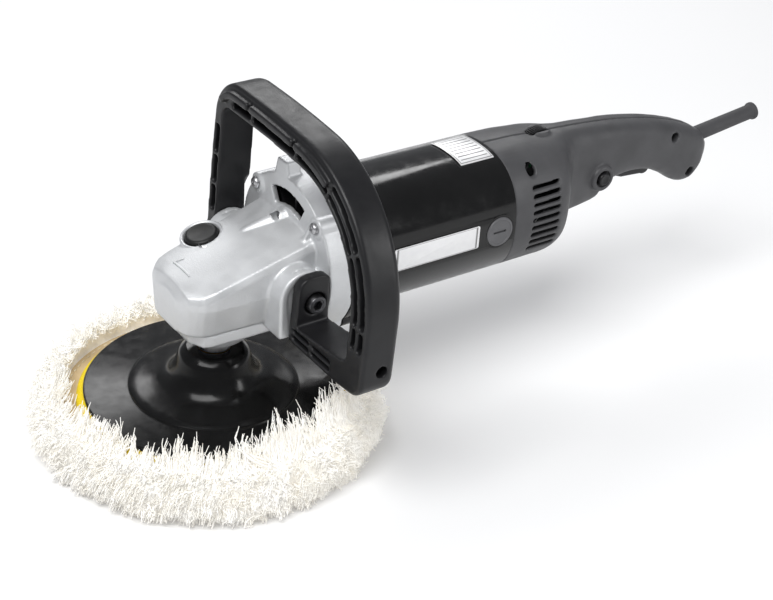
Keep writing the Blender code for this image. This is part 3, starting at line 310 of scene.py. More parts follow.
def copied(piece, name, place):
    """A copy with its own mesh, put in place by a matrix in millimetres."""
    twin = piece.copy()
    twin.data = piece.data.copy()
    twin.name = twin.data.name = name
    scene.collection.objects.link(twin)
    metres = place.copy()
    metres.translation = place.translation * MM
    twin.matrix_world = metres
    return settle(twin, name)


def joined(name, parts):
    work_on(parts[0])
    for part in parts[1:]:
        part.select_set(True)
    bpy.ops.object.join()
    parts[0].name = parts[0].data.name = name
    return parts[0]


print("hand tools ready")

# %% [markdown]
# ## Writing finishes
# A finish is a small graph of nodes. The class below wraps a socket, so that sums on masks are
# written as plain expressions, and a second one adds any node with one call.

# %% Sockets and nodes
class Wire:
    def __init__(self, paint, socket):
        self.paint = paint
        self.socket = socket

    def maths(self, operation, first, second):
        return self.paint.node("Math", {"operation": operation}, {0: first, 1: second})

    def __add__(self, other):
        return self.maths("ADD", self, other)

    def __radd__(self, other):
        return self.maths("ADD", other, self)

    def __sub__(self, other):
        return self.maths("SUBTRACT", self, other)

    def __rsub__(self, other):
        return self.maths("SUBTRACT", other, self)

    def __mul__(self, other):
        return self.maths("MULTIPLY", self, other)

    def __rmul__(self, other):
        return self.maths("MULTIPLY", other, self)


class Paint:
    def __init__(self, name, slot):
        self.material = bpy.data.materials.new(name)
        self.material.use_nodes = True
        self.slot = slot
        self.tree = self.material.node_tree
        self.shader = self.tree.nodes["Principled BSDF"]
        self.place = self.node("TexCoord", {}, {}, "Object")

    def plug(self, socket, value):
        if isinstance(value, Wire):
            self.tree.links.new(value.socket, socket)
        else:
            socket.default_value = value

    def node(self, kind, settings=(), inputs=(), out=0):
        made = self.tree.nodes.new("ShaderNode" + kind)
        for key, value in dict(settings).items():
            if key == "stops":
                for i, (position, colour) in enumerate(value):
                    band = made.color_ramp.elements
                    stop = band[i] if i < 2 else band.new(position)
                    stop.position = position
                    stop.color = (*colour, 1)
            else:
                setattr(made, key, value)
        for key, value in dict(inputs).items():
            self.plug(made.inputs[key], value)
        return Wire(self, made.outputs[out])

    def set(self, **values):
        for key, value in values.items():
            name = key.replace("_", " ").title().replace("Ior", "IOR")
            if name.endswith("Color") and not isinstance(value, Wire):
                value = (*value, 1)
            self.plug(self.shader.inputs[name], value)
        return self

    def noise(self, size, detail=2.0, place=None, **more):
        """Cloudy values around 0.5, with features of a size in millimetres."""
        inputs = {"Vector": place or self.place, "Scale": 1 / (size * MM), "Detail": detail, **more}
        return self.node("TexNoise", {"noise_dimensions": "3D"}, inputs)

    def blend(self, share, first, second):
        colours = [colour if isinstance(colour, Wire) else (*colour, 1) for colour in (first, second)]
        return self.node("Mix", {"data_type": "RGBA"}, {0: share, 6: colours[0], 7: colours[1]}, 2)

    def clip(self, value, low, high, to_low=0.0, to_high=1.0):
        return self.node("MapRange", {}, {0: value, 1: low, 2: high, 3: to_low, 4: to_high})

    def bumps(self, height, depth, strength=1.0):
        """Relief whose full height is a depth in millimetres."""
        inputs = {"Height": height, "Distance": depth * MM, "Strength": strength}
        self.plug(self.shader.inputs["Normal"], self.node("Bump", {}, inputs))
        return self


# %% [markdown]
# ## Finishes
# Moulded plastics differ in gloss, in the fineness of their spark-eroded grain and in how evenly
# they are coloured, so one recipe serves them all. Metals share a second recipe.

# %% Moulded plastics
def moulded(name, slot, colour, roughness, grain=0.35, depth=0.02, cloud=0.12, shine=0.3):
    paint = Paint(name, slot)
    mottle = paint.noise(22, 3)
    fine = paint.noise(grain, 2)
    darker = [value * (1 - cloud) for value in colour]
    lighter = [value * (1 + cloud) + 0.002 for value in colour]
    handled = paint.clip(paint.noise(9, 4), 0.35, 0.75)
    paint.set(
        base_color=paint.blend(paint.clip(mottle, 0.3, 0.7), darker, lighter),
        roughness=paint.clip(fine * 0.4 + handled * 0.6, 0.2, 0.8, roughness - 0.05, roughness + 0.07),
        specular_ior_level=shine,
    )
    return paint.bumps(fine, depth)


PLASTIC = {
    "gloss_black": moulded("gloss_black", "gloss_black_plastic", (0.004, 0.004, 0.004), 0.14, 1.5, 0.006),
    "plate_black": moulded(
        "plate_black", "gloss_black_plastic", (0.004, 0.004, 0.004), 0.20, 0.5, 0.008, shine=0.22,
    ),
    "nylon": moulded("nylon", "black_nylon", (0.009, 0.009, 0.010), 0.38, 0.4, 0.03),
    "button_black": moulded("button_black", "cap_grey_plastic", (0.008, 0.008, 0.008), 0.42, 0.4, 0.02),
    "grip_grey": moulded("grip_grey", "grip_plastic", (0.060, 0.060, 0.063), 0.44, 0.45, 0.05),
    "cap_grey": moulded("cap_grey", "cap_grey_plastic", (0.11, 0.11, 0.115), 0.42, 0.4, 0.03),
    "sleeve_rubber": moulded("sleeve_rubber", "soft_grey_rubber", (0.055, 0.055, 0.058), 0.62, 0.6, 0.03),
    "carbon": moulded("carbon", "carbon", (0.03, 0.03, 0.03), 0.6, 0.3, 0.05),
    "hook_black": moulded("hook_black", "black_nylon", (0.03, 0.03, 0.03), 0.9, 0.7, 0.4),
    "board_green": moulded("board_green", "circuit_board", (0.03, 0.15, 0.06), 0.4, 2.0, 0.02),
}
print(len(PLASTIC), "plastics")


# %% Metals
def metal(name, slot, colour, roughness, grain=0.5, depth=0.02, stretch=(1, 1, 1), worn=0.1, sheen=1.0):
    paint = Paint(name, slot)
    spread = paint.node("Mapping", {"vector_type": "TEXTURE"}, {"Vector": paint.place, "Scale": stretch})
    fine = paint.noise(grain, 3, spread)
    cloud = paint.clip(paint.noise(14, 4), 0.3, 0.7)
    dull = [value * (1 - worn) for value in colour]
    paint.set(
        base_color=paint.blend(cloud * 0.6 + fine * 0.4, dull, colour),
        roughness=paint.clip(fine * 0.5 + cloud * 0.5, 0.2, 0.8, roughness - 0.06, roughness + 0.1),
        metallic=sheen,
    )
    return paint.bumps(fine, depth)


METAL = {
    "cast": metal("cast", "cast_aluminium", (0.66, 0.67, 0.68), 0.44, 0.9, 0.16, worn=0.14, sheen=0.55),
    "steel": metal("steel", "bright_steel", (0.62, 0.62, 0.63), 0.26, 0.4, 0.01, (1, 1, 6)),
    "turned_steel": metal("turned_steel", "bright_steel", (0.66, 0.66, 0.67), 0.22, 0.4, 0.01, (8, 1, 1)),
    "dark_steel": metal("dark_steel", "dark_steel", (0.10, 0.10, 0.105), 0.38, 0.5, 0.02),
    "zinc_steel": metal("zinc_steel", "dark_steel", (0.50, 0.50, 0.51), 0.3, 0.5, 0.01),
    "copper": metal("copper", "copper", (0.72, 0.34, 0.18), 0.35, 0.6, 0.08, (6, 1, 1)),
    "brass": metal("brass", "brass", (0.75, 0.58, 0.28), 0.3, 0.5, 0.02),
    "foil": metal("foil", "silver_label", (0.80, 0.80, 0.80), 0.36, 0.3, 0.004, (10, 1, 1), 0.06),
}
print(len(METAL), "metals")

# %% [markdown]
# The pad needs three finishes of its own: crimped cream wool whose tone varies from clump to clump, open-cell
# foam pitted with small holes, and brushed suede.

# %% Wool, foam and leather
wool = Paint("wool", "cream_wool")
curl = wool.noise(1.4, 4)
clump = wool.clip(wool.noise(13, 3), 0.3, 0.7)
pale = wool.blend(clump, (0.93, 0.89, 0.80), (0.985, 0.975, 0.95))
wool.set(base_color=wool.blend(wool.clip(curl, 0.35, 0.65) * 0.5, pale, (0.97, 0.96, 0.93)))
wool.set(roughness=0.95, sheen_weight=0.5, sheen_roughness=0.5)
# Painted light: the wool glows faintly in its cream colour, standing in for light scattered through the pile
# and lifting the shadows between the strands.
wool.set(emission_color=(1.0, 0.975, 0.93), emission_strength=0.16)
wool.bumps(curl, 0.5)

foam = Paint("foam", "yellow_foam")
cells = foam.node("TexVoronoi", {"feature": "F1"}, {"Vector": foam.place, "Scale": 1 / (0.9 * MM)})
# One Voronoi mask gives both the depth of the pits in the bump and a deeper, darker yellow in them; that
# darker yellow is painted shade in the holes.
pit_depth_and_shade = foam.clip(cells, 0.05, 0.6)
foam.set(base_color=foam.blend(pit_depth_and_shade, (0.95, 0.78, 0.03), (0.80, 0.58, 0.005)), roughness=0.9)
foam.bumps(1 - pit_depth_and_shade, 0.35)

leather = Paint("leather", "tan_leather")
nap = leather.noise(0.7, 5)
tan = leather.blend(leather.clip(leather.noise(16, 3), 0.3, 0.7), (0.50, 0.36, 0.18), (0.62, 0.47, 0.26))
leather.set(base_color=leather.blend(nap * 0.5, tan, (0.70, 0.57, 0.36)), roughness=0.9, sheen_weight=0.3)
leather.bumps(nap, 0.25)

thread = moulded("thread", "cream_wool", (0.75, 0.68, 0.52), 0.8, 0.5, 0.1)
print("wool, foam, leather and thread")


# %% Dressing a piece
def dress(piece, paint, body, *nodes):
    """Gives a piece its finish and its body, and hides the plain nodes that it stands for."""
    piece.data.materials.clear()
    piece.data.materials.append(paint.material)
    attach(piece, body)
    if nodes:
        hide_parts(*nodes)
    print(piece.name, len(piece.data.polygons), "faces")
    return piece


# %% Floor
bpy.ops.mesh.primitive_grid_add(x_subdivisions=8, y_subdivisions=8, size=24, location=(0, 0, -0.0006))
floor = bpy.context.object
floor.name = "floor"
sweep = Paint("sweep", "")
sweep.set(base_color=sweep.blend(sweep.noise(400, 2), (0.86, 0.86, 0.86), (0.88, 0.88, 0.88)), roughness=0.85)
floor.data.materials.append(sweep.material)

# %% [markdown]
# ## Backing plate
# The plate is a glossy moulding with a thick hub. Its bright ring is a narrow step that catches
# the light, so the profile carries that step, and it is spun finely enough to stay round up close.

# %% Backing plate
PLATE_Z, RIM_Z, HUB_Z = 32.0, 35.0, 67.0
plate_profile = (
    (9.5, PLATE_Z), (88.6, PLATE_Z), (90, PLATE_Z + 0.9), (90, RIM_Z - 1.0), (89.2, RIM_Z - 0.2),
    (88.4, RIM_Z), (60.3, RIM_Z + 0.2), (59.2, RIM_Z + 0.5), (58.6, RIM_Z + 1.5), (57.6, RIM_Z + 2.1),
    (52, RIM_Z + 2.9), (45, RIM_Z + 4.5), (39.5, RIM_Z + 5.9), (35.6, RIM_Z + 7.4), (32.6, RIM_Z + 9.6),
    (30.4, RIM_Z + 12.4), (28.2, RIM_Z + 16.4), (26.7, RIM_Z + 20), (25.2, RIM_Z + 25), (24.1, HUB_Z - 4.4),
    (23.3, HUB_Z - 3.4), (20.6, HUB_Z - 0.9), (19.5, HUB_Z - 0.2), (18.8, HUB_Z), (12.4, HUB_Z),
    (11.6, HUB_Z - 0.8), (11.6, RIM_Z + 2), (9.5, RIM_Z),
)
backing = spun("backing_plate_body", [*plate_profile, plate_profile[0]], steps=160)
bpy.ops.object.shade_smooth_by_angle(angle=math.radians(28))
dress(backing, PLASTIC["plate_black"], "spindle", "backing_plate")

# %% [markdown]
# ## Pad
# Under the plate lie a disc of foam, a tan leather and the wool itself. Foam bulges a little
# between the skins that press it, so its edge is drawn crowned. The leather has a cut edge and
# a row of stitches where the pelt is sewn on.

# %% Foam
FOAM_Z = 22.0
foam_profile = (
    (9.5, FOAM_Z), (88, FOAM_Z), (92.5, FOAM_Z + 0.4), (94.4, FOAM_Z + 1.8), (95.0, FOAM_Z + 4),
    (94.4, FOAM_Z + 6.6), (92.8, FOAM_Z + 8.6), (90.8, FOAM_Z + 9.5), (89, FOAM_Z + 9.7), (9.5, FOAM_Z + 9.7),
)
foam_ring = spun("foam_disc", [*foam_profile, foam_profile[0]], steps=160)
bpy.ops.object.shade_smooth_by_angle(angle=math.radians(50))
dress(foam_ring, foam, "spindle", "foam_pad")

# %% Leather and its stitches
LEATHER_Z = 17.8
WOOL_X, WOOL_Y = -1.5, 6.0
leather_profile = (
    (9.3, LEATHER_Z), (102.4, LEATHER_Z), (103, LEATHER_Z + 0.5), (103, LEATHER_Z + 1.4),
    (102.4, LEATHER_Z + 1.9), (9.3, LEATHER_Z + 1.9),
)
leather_ring = spun("leather_disc", [*leather_profile, leather_profile[0]], (WOOL_X, WOOL_Y, 0), steps=120)
bpy.ops.object.shade_smooth_by_angle(angle=math.radians(50))
dress(leather_ring, leather, "spindle", "leather_backing")

bpy.ops.mesh.primitive_uv_sphere_add(segments=8, ring_count=5, radius=1, location=(0, 0, 0))
stitch = bpy.context.object
stitch.scale = (0.55 * MM, 2.1 * MM, 0.4 * MM)
settle(stitch, "stitch")
stitches = []
for i in range(96):
    turn = Matrix.Rotation(math.tau * i / 96, 4, "Z")
    home = Matrix.Translation((WOOL_X, WOOL_Y, LEATHER_Z + 2.1)) @ turn @ Matrix.Translation((99.6, 0, 0))
    stitches.append(copied(stitch, "stitch_copy", home))
bpy.data.objects.remove(stitch)
sewing = joined("leather_stitches", stitches)
bpy.ops.object.shade_smooth()
dress(sewing, thread, "spindle")

# %% [markdown]
# ## Wool
# The pelt is a dish of pile under a coat of loose locks. The dish is spun and roughened, and the
# locks are several thousand short curves of tapering yarn. Each lock is a few strands that leave
# the dish together and splay, which gives the ragged outline that a smooth torus never has.

# %% Wool dish
random.seed(17)
PILE_TOP = 17.4
dish_profile = (
    (0, 2.5), (60, 2.2), (102, 2.6), (110, 4.5), (115.5, 9), (117.5, 16), (116.5, 23), (113.5, 28.5),
    (109.5, 31), (106.3, 30.6), (104.3, 28), (103.8, 22), (103.7, PILE_TOP), (60, PILE_TOP), (0, PILE_TOP),
)
dish = spun("wool_dish", dish_profile, (WOOL_X, WOOL_Y, 0), steps=150)
for size, strength in ((11.0, 5.0), (3.2, 1.8)):
    tufting = bpy.data.textures.new("tufting", "CLOUDS")
    tufting.noise_scale = size * MM
    if size > 5:
        fine = dish.modifiers.new("fine", "SUBSURF")
        fine.subdivision_type = "SIMPLE"
        fine.levels = fine.render_levels = 1
    push = dish.modifiers.new("push", "DISPLACE")
    push.texture = tufting
    push.texture_coords = "LOCAL"
    push.mid_level = 0.62
    push.strength = strength * MM
apply_all(dish)
bpy.ops.object.shade_smooth()
dress(dish, wool, "spindle", "wool_pile")


# %% Locks of wool
def lock_path(angle, radius, height, lean, length, sway):
    """Points along one lock: it leaves the dish at a lean, then falls over and sways aside."""
    outward = Vector((math.cos(angle), math.sin(angle), 0))
    aside = Vector((-math.sin(angle), math.cos(angle), 0))
    points = [Vector((WOOL_X, WOOL_Y, height)) + outward * radius]
    for i in range(1, 6):
        share = i / 5
        turn = lean - 0.9 * share ** 1.3
        reach = outward * math.cos(turn) + Vector((0, 0, math.sin(turn)))
        drift = aside * sway * math.sin(1.2 + 2.2 * share)
        points.append(points[-1] + (reach + drift) * (length / 5))
    return points


def fleece(name, locks, strands, thickness):
    """Locks as bundles of fine curves, thick at the root and drawn together at the tip."""
    curve = bpy.data.curves.new(name, "CURVE")
    curve.dimensions = "3D"
    curve.bevel_depth = thickness * MM
    curve.bevel_resolution = 0
    curve.use_fill_caps = True
    for lock in locks:
        path = lock_path(*lock)
        for _ in range(strands):
            splay = Vector([random.gauss(0, 1.7) for _ in range(3)])
            wave = random.uniform(0, math.tau)
            spline = curve.splines.new("POLY")
            spline.points.add(len(path) - 1)
            reach = random.uniform(0.75, 1.1)
            for i, point in enumerate(path):
                share = i / (len(path) - 1)
                spot = path[0] + (point - path[0]) * reach + splay * (1.1 - 0.45 * share)
                crimp = Vector((math.sin(wave + 3.4 * i), math.cos(wave + 2.9 * i), math.sin(wave + 2.2 * i)))
                spot += crimp * (0.2 + 1.25 * share)
                spot.z = max(spot.z, 0.9)
                spline.points[i].co = (*(spot * MM), 1)
                spline.points[i].radius = 1 - 0.65 * share ** 1.5
    piece = bpy.data.objects.new(name, curve)
    scene.collection.objects.link(piece)
    work_on(piece)
    bpy.ops.object.convert(target="MESH")
    bpy.ops.object.shade_smooth()
    return bpy.context.object


def tuft_size(angle, height):
    """How far the coat stands out here: a slow, uneven swell round the pad."""
    swell = 0.28 * math.sin(3 * angle + 0.7) * math.sin(7 * angle + height * 0.2)
    return 1 + swell + 0.2 * math.sin(19 * angle + height)


def side_lock():
    """A lock on the outer wall of the dish."""
    angle = random.uniform(0, math.tau)
    height = random.uniform(3, 30)
    bulge = 115.5 - 0.035 * (height - 15) ** 2
    lean = random.gauss(0.15, 0.45) + (height - 12) * 0.035
    length = random.uniform(6, 10) * tuft_size(angle, height)
    return (angle, bulge, height, lean, length, random.gauss(0, 0.75))


def rim_lock():
    """A lock on top of the lip; more of them fall inwards over the foam on the front side."""
    angle = random.uniform(0, math.tau)
    front = 0.5 + 0.5 * math.cos(angle - math.radians(285))
    inward = random.random() < 0.12 + 0.75 * front
    radius = random.uniform(103.5, 112)
    size = tuft_size(angle, 0)
    if inward:
        length = random.uniform(8, 12 + 16 * front) * size
        return (angle, radius, 30, math.pi - random.uniform(0.0, 0.75), length, random.gauss(0, 0.6))
    return (angle, radius, 29.5, random.uniform(0.4, 1.5), random.uniform(5, 8) * size, random.gauss(0, 0.8))


COATS = (("side", side_lock, 2700, 3), ("rim", rim_lock, 1500, 2))
for kind, grow, count, parts in COATS:
    for part in range(parts):
        coat = fleece(f"wool_locks_{kind}_{part + 1}", [grow() for _ in range(count // parts)], 6, 0.62)
        dress(coat, wool, "spindle")

# %% [markdown]
# ## Gearbox
# The gear head is one aluminium casting. A casting has no sharp edge anywhere, and where two
# forms meet the metal runs together in a fillet. So it is put together from plain forms by
# Booleans, and then remeshed finely and relaxed, which rolls every edge and fills every corner.

# %% Body of the casting
GEARBOX_Z, MOTOR_Z = 96.3, 124.8
FLANGE_X, FLANGE_END = 55.0, 75.0
NOSE, SHOULDER = -37.0, -26.0
TOP_Z, TOP_SLOPE = 126.8, 0.287
BOLT_X, BOLT_Z = 42.0, 119.8
BOSS_FACE = 51.2
CROWN = 5.0
half_widths = (
    (NOSE - 0.5, 13.0), (NOSE + 0.5, 19.0), (NOSE + 3, 25.5), (NOSE + 7, 30.0), (SHOULDER, 33.0),
    (SHOULDER + 8, 34.6), (0, 35.4), (FLANGE_X + 2, 38),
)


def on_top(x, y, rise=0.0, half=35.0):
    """A point on the casting's top, which slopes up to the flange and is crowned across."""
    return (x, y, TOP_Z + TOP_SLOPE * (x - SHOULDER) + CROWN * (1 - (y / half) ** 2) + rise)


def body_section(x, half):
    edge = half - 2.5
    across = [edge * (1 - i / 6) for i in range(13)]
    drop = 5.0 if x < NOSE + 2 else 0.0
    top = [on_top(x, y, -drop, half) for y in across]
    corner = on_top(x, half, -3.5 - drop, half)
    foot = half * 0.88
    side = [corner, (x, half, 118 - drop), (x, (half + foot) / 2, 107), (x, foot, GEARBOX_Z)]
    left = [(x, -y, z) for _, y, z in side]
    return [*reversed(side), *top, *left]


casting = lofted("gearbox_casting", [body_section(x, half) for x, half in half_widths])
on_motor, at_bolt = (0, 0, MOTOR_Z), (BOLT_X, 0, BOLT_Z)
spread = 53 / math.sqrt(2)
CORNERS = [(y * spread, MOTOR_Z + z * spread) for y in (-1, 1) for z in (-1, 1)]
add(casting, rod("flange", 57, FLANGE_X, FLANGE_END, on_motor, "X", 96))
for y, z in CORNERS:
    add(casting, rod("lug", 7, FLANGE_X - 1.5, FLANGE_END - 0.4, (0, y, z), "X", 24))
top_lug = [(9 + y, MOTOR_Z + z) for y, z in ((-11, 48), (11, 48), (6, 67), (-6, 67))]
add(casting, plate("top_lug", top_lug, FLANGE_X + 0.4, FLANGE_X + 11, "X"))
arch = [(20, 92.8), (57, 92.8), *arc((38.5, 121.3), 18.5, 0, 180, 24)]
for side in (-1, 1):
    add(casting, plate("arch_boss", arch, *sorted((side * 30, side * BOSS_FACE)), "Y"))
print(len(casting.data.polygons), "faces before softening")

# %% Rim, fin and gusset
LOCK_X, LOCK_Y = 4.1, 27.5
LOCK_TILT = Matrix.Translation((LOCK_X, LOCK_Y, 140.4)) @ Matrix.Rotation(-math.atan(TOP_SLOPE), 4, "Y")
add(casting, set_down(rod("lock_rim", 15.2, -14, -2.2, sides=64), LOCK_TILT))
fin_rings = []
FIN = ((23, 8, 1.6, 0.2), (26, 7.4, 3.0, 1.4), (44, 4.2, 5.6, 3.2), (FLANGE_X + 1, 2.5, 7.2, 3.4))
for x, y, radius, rise in FIN:
    top = on_top(x, y, rise)[2]
    ring = arc((y, top - radius), radius, 0, 180, 12) + [(y - radius, top - 14), (y + radius, top - 14)]
    fin_rings.append([(x, across, z) for across, z in ring])
add(casting, lofted("fin", fin_rings))
SCREW_Y = 3.6
SCREW_Z = on_top(48, SCREW_Y)[2] - 1.0
cut(casting, rod("screw_seat", 4.4, 45, FLANGE_X - 2, (0, SCREW_Y, SCREW_Z), "X", 32))
gusset = [(37, 128), (FLANGE_X + 1, 128), (FLANGE_X + 1, 163)]
add(casting, plate("gusset", gusset, -31, -28, "Y"))

# %% Openings of the casting
for middle in (90, 270):
    span = 26
    outline = arc((0, MOTOR_Z), 47.5, middle - span, middle + span, 16)
    outline += arc((0, MOTOR_Z), 35, middle + span, middle - span, 16)
    cut(casting, plate("window", outline, FLANGE_X - 2, FLANGE_X + 6, "X"))
cut(casting, rod("fan_room", 50, FLANGE_X + 4, FLANGE_END + 2, on_motor, "X", 72))
cut(casting, rod("gear_room", 30, GEARBOX_Z - 5, 120.8, sides=48))
cut(casting, set_down(rod("lock_room", 12.6, -11, 5, sides=64), LOCK_TILT))
cut(casting, rod("shaft_room", 8, 34, FLANGE_X + 8, on_motor, "X", 24))
for y, z in CORNERS:
    cut(casting, rod("screw_hole", 2.4, FLANGE_X - 5, FLANGE_END + 3, (0, y, z), "X", 16))
for side in (-1, 1):
    cut(casting, rod("bolt_hole", 4.3, *sorted((side * 37.2, side * 53.2)), at_bolt, "Y", 24))
    cut(casting, block("boss_slot", (31, side * 46 - 1.2, 134), (46, side * 46 + 1.2, 145)))
    recess = [(27.5, 96), (50, 96), *arc((38.5, 121.3), 13.5, 0, 180, 16)]
    cut(casting, plate("boss_relief", recess, *sorted((side * 50, side * 53)), "Y"))
for y in (-23.5, 23.5):
    lower = (24, -3.4 + y, 88)
    cut(casting, block("side_relief", lower, (50, y + 3.4, GEARBOX_Z + 6)))
soften(casting, 0.95, 3)
dress(casting, METAL["cast"], "housing", "gear_housing")

# %% Raised mark on the top of the casting
mark_parts = []
stem = [(-24, 14 - 2 * i) for i in range(12)]
tick = [(-24, 13.4), (-21, 12.6), (-17.7, 11.8)]
for line, way in ((stem, (0.7, 0)), (tick, (0, 0.7))):
    rings = []
    for x, y in line:
        low = on_top(x - way[0], y - way[1], -0.9), on_top(x + way[0], y + way[1], -0.9)
        high = on_top(x + way[0], y + way[1], 0.75), on_top(x - way[0], y - way[1], 0.75)
        rings.append([*low, *high])
    mark_parts.append(lofted("mark", rings))
mark = round_edges(joined("casting_mark", mark_parts), 0.25, 2)
dress(mark, METAL["cast"], "housing")

# %% [markdown]
# ## Bearing cover
# The cover under the gears is cast too, with a round nose for the spindle's bearing.

# %% Bearing cover
cover_half = ((-30.0, 17.0), (-24.0, 28.0), (-18.0, 30.0), (26.0, 31.0))
cover_line = [*cover_half, *[(x, -y) for x, y in reversed(cover_half)]]
cover = plate("bearing_cover_casting", cover_line, 87, 96)
nose_profile = (
    (9, 77), (20.6, 77), (22, 78.2), (24, 80), (25.2, 83.6), (27, 87.6), (27, 88), (9, 88),
)
add(cover, spun("nose", [*nose_profile, nose_profile[0]], steps=72))
SCREW_SPOTS = [(x, y) for x in (-20.5, 21.5) for y in (-24.5, 24.5)]
for x, y in SCREW_SPOTS:
    cut(cover, rod("counterbore", 3.8, 84, 90, (x, y, 0), sides=24))
cut(cover, rod("bearing_room", 16.4, 82.7, 110, sides=48), rod("neck", 9.2, 70, 85, sides=32))
soften(cover, 0.8, 4)
dress(cover, METAL["cast"], "housing", "bearing_cover")

# %% [markdown]
# ## Screws and bolts
# The flange screw and the shell screw are each modelled once and the rest are copies; the two socket-head
# bolts are spun one by one. A screw of this kind has a domed head with a cross recess; a bolt has a hexagon
# socket, and its rim is left smooth here.

# %% Screws
def pan_screw(name, head, shank, length):
    """A domed cross-head screw along -X, its seat at the origin."""
    dome = ((0, -3.1), (head * 0.45, -3.0), (head * 0.8, -2.4), (head, -1.2), (head, 0), (shank, 0),
            (shank, length), (0, length))
    screw = spun(name, dome, axis="X", steps=32)
    for size in ((0.55, head * 0.62), (head * 0.62, 0.55)):
        cut(screw, block("recess", (-4, -size[0], -size[1]), (-1.6, size[0], size[1])))
    return round_edges(screw, 0.15, 2, 40)


flange_screw = pan_screw("flange_screw", 4.2, 2, 26)
screw_seat = FLANGE_X - 1.8
for i, (y, z) in enumerate(CORNERS, 1):
    place = Matrix.Translation((screw_seat, y, z)) @ Matrix.Rotation(0.5 * i, 4, "X")
    screw = copied(flange_screw, f"flange_screw_head_{i}", place)
    dress(screw, METAL["zinc_steel"], "housing", f"flange_screw_{i}")
on_fin = Matrix.Translation((FLANGE_X - 2, SCREW_Y, SCREW_Z)) @ Matrix.Scale(0.8, 4)
ridge_screw = copied(flange_screw, "ridge_screw", on_fin)
dress(ridge_screw, METAL["zinc_steel"], "housing")
bpy.data.objects.remove(flange_screw)

shell_screw = pan_screw("shell_screw", 3.5, 1.7, 16)
SHELL_SCREWS = ((239, 35, 24), (400, 17, 13.5), (422, -17.5, 13))
for i, (x, z, reach) in enumerate(SHELL_SCREWS, 1):
    place = Matrix.Translation((x, -(reach - 7.7), MOTOR_Z + z)) @ Matrix.Rotation(math.pi / 2, 4, "Z")
    screw = copied(shell_screw, f"shell_screw_head_{i}", place)
    dress(screw, METAL["dark_steel"], "housing", f"shell_screw_{i}")
bpy.data.objects.remove(shell_screw)

# %% Socket-head bolts of the handle
for name, side in (("left", -1), ("right", 1)):
    seat_y = BOSS_FACE + 4.6
    bolt_profile = (
        (0, 38.2), (4, 38.2), (4, seat_y), (6.5, seat_y), (6.5, seat_y + 6.2), (6.1, seat_y + 7),
        (4.6, seat_y + 7), (4.2, seat_y + 6.6), (0, seat_y + 6.6),
    )
    bolt = spun(f"handle_bolt_head_{name}", bolt_profile, at_bolt, "Y", 60, side)
    hexagon = arc((BOLT_X, BOLT_Z), 3.7, 0, 300, 5)
    cut(bolt, plate("socket", hexagon, *sorted((side * (seat_y + 2.6), side * (seat_y + 9))), "Y"))
    bpy.ops.object.shade_smooth_by_angle(angle=math.radians(30))
    dress(bolt, METAL["dark_steel"], "housing", f"handle_bolt_{name}")

# %% [markdown]
# ## Spindle lock button
# A round cap stands in a raised rim of the casting, with a narrow shadow gap round it.

# %% Lock button
button_profile = (
    (0, -9), (11.7, -9), (11.8, -1.8), (11.4, -0.8), (10.6, -0.1), (9.4, 0.2), (8.4, 0.0), (0, 0.1),
)
button = set_down(spun("lock_button_cap", button_profile, steps=96), LOCK_TILT)
bpy.ops.object.shade_smooth_by_angle(angle=math.radians(40))
dress(button, PLASTIC["button_black"], "spindle_lock", "lock_button")
rim_profile = ((12.9, -8), (15.2, -8), (15.4, -2.4), (15.0, -1.5), (14.3, -1.1), (13.5, -1.3), (12.9, -2.0))
rim = set_down(spun("lock_rim_ring", [*rim_profile, rim_profile[0]], steps=96), LOCK_TILT)
bpy.ops.object.shade_smooth_by_angle(angle=math.radians(40))
dress(rim, METAL["cast"], "housing")
pin_profile = ((0, 113.2), (2.1, 113.2), (2.5, 113.8), (2.5, 127.6), (0, 127.6))
pin = spun("lock_pin_rod", pin_profile, (0, 15.5, 0), steps=32)
bpy.ops.object.shade_smooth_by_angle(angle=math.radians(40))
dress(pin, METAL["steel"], "spindle_lock", "lock_pin")

# %% [markdown]
# ## D-handle
# The handle is a glass-filled nylon moulding. Its front is ribbed: two rows of deep pockets follow
# the bar, with thin ribs between them, which keeps the walls even while the back stays smooth.
# The outline comes from concentric arcs, so a rail at any depth from the outer edge is easy.

# %% Rails along the handle
NEAR_Y, ARC_Z, ARC_R = -137.0, 139.8, 97.0
CREST_Y, FALL = 22.0, 4.5
FAR_Y, FAR_R = 62.0, 29.0
FOOT = 51.5
fall = math.radians(FALL)
joint_y = NEAR_Y + ARC_R - ARC_R * math.sin(fall)
CROWN_R = (CREST_Y - joint_y) / math.sin(fall)
CROWN_Z = ARC_Z - (CROWN_R - ARC_R) * math.cos(fall)
CREST_Z = CROWN_Z + CROWN_R
LOW_Z = BOLT_Z - 28


def rail(inset, end_z=104.0):
    """The line over the bar at a distance inside its outer edge, from the far corner to the near
    foot. Every rail has the same number of points, so that they match across the bar."""
    line = arc((FAR_Y - FAR_R, CREST_Z - FAR_R), FAR_R - inset, 0, 90, 12)
    line += arc((CREST_Y, CROWN_Z), CROWN_R - inset, 90, 90 + FALL, 10)
    line += arc((NEAR_Y + ARC_R, ARC_Z), ARC_R - inset, 90 + FALL, 180, 40)[1:]
    return line + [(NEAR_Y + inset, ARC_Z + (end_z - ARC_Z) * i / 8) for i in range(1, 9)]


def along(inset, start, end, count=14):
    """Part of a rail, between two shares of its point count."""
    line = rail(inset)
    points = []
    for i in range(count + 1):
        spot = start + (end - start) * i / count
        whole = min(int(spot), len(line) - 2)
        part = spot - whole
        a, b = line[whole], line[whole + 1]
        points.append((a[0] + (b[0] - a[0]) * part, a[1] + (b[1] - a[1]) * part))
    return points


def station(place):
    """Where along the rails a place on the handle lies, and how long a step is there."""
    line = rail(9)
    gaps = [math.dist(place, point) for point in line]
    nearest = min(range(1, len(line) - 1), key=gaps.__getitem__)
    return nearest, math.dist(line[nearest - 1], line[nearest + 1]) / 2


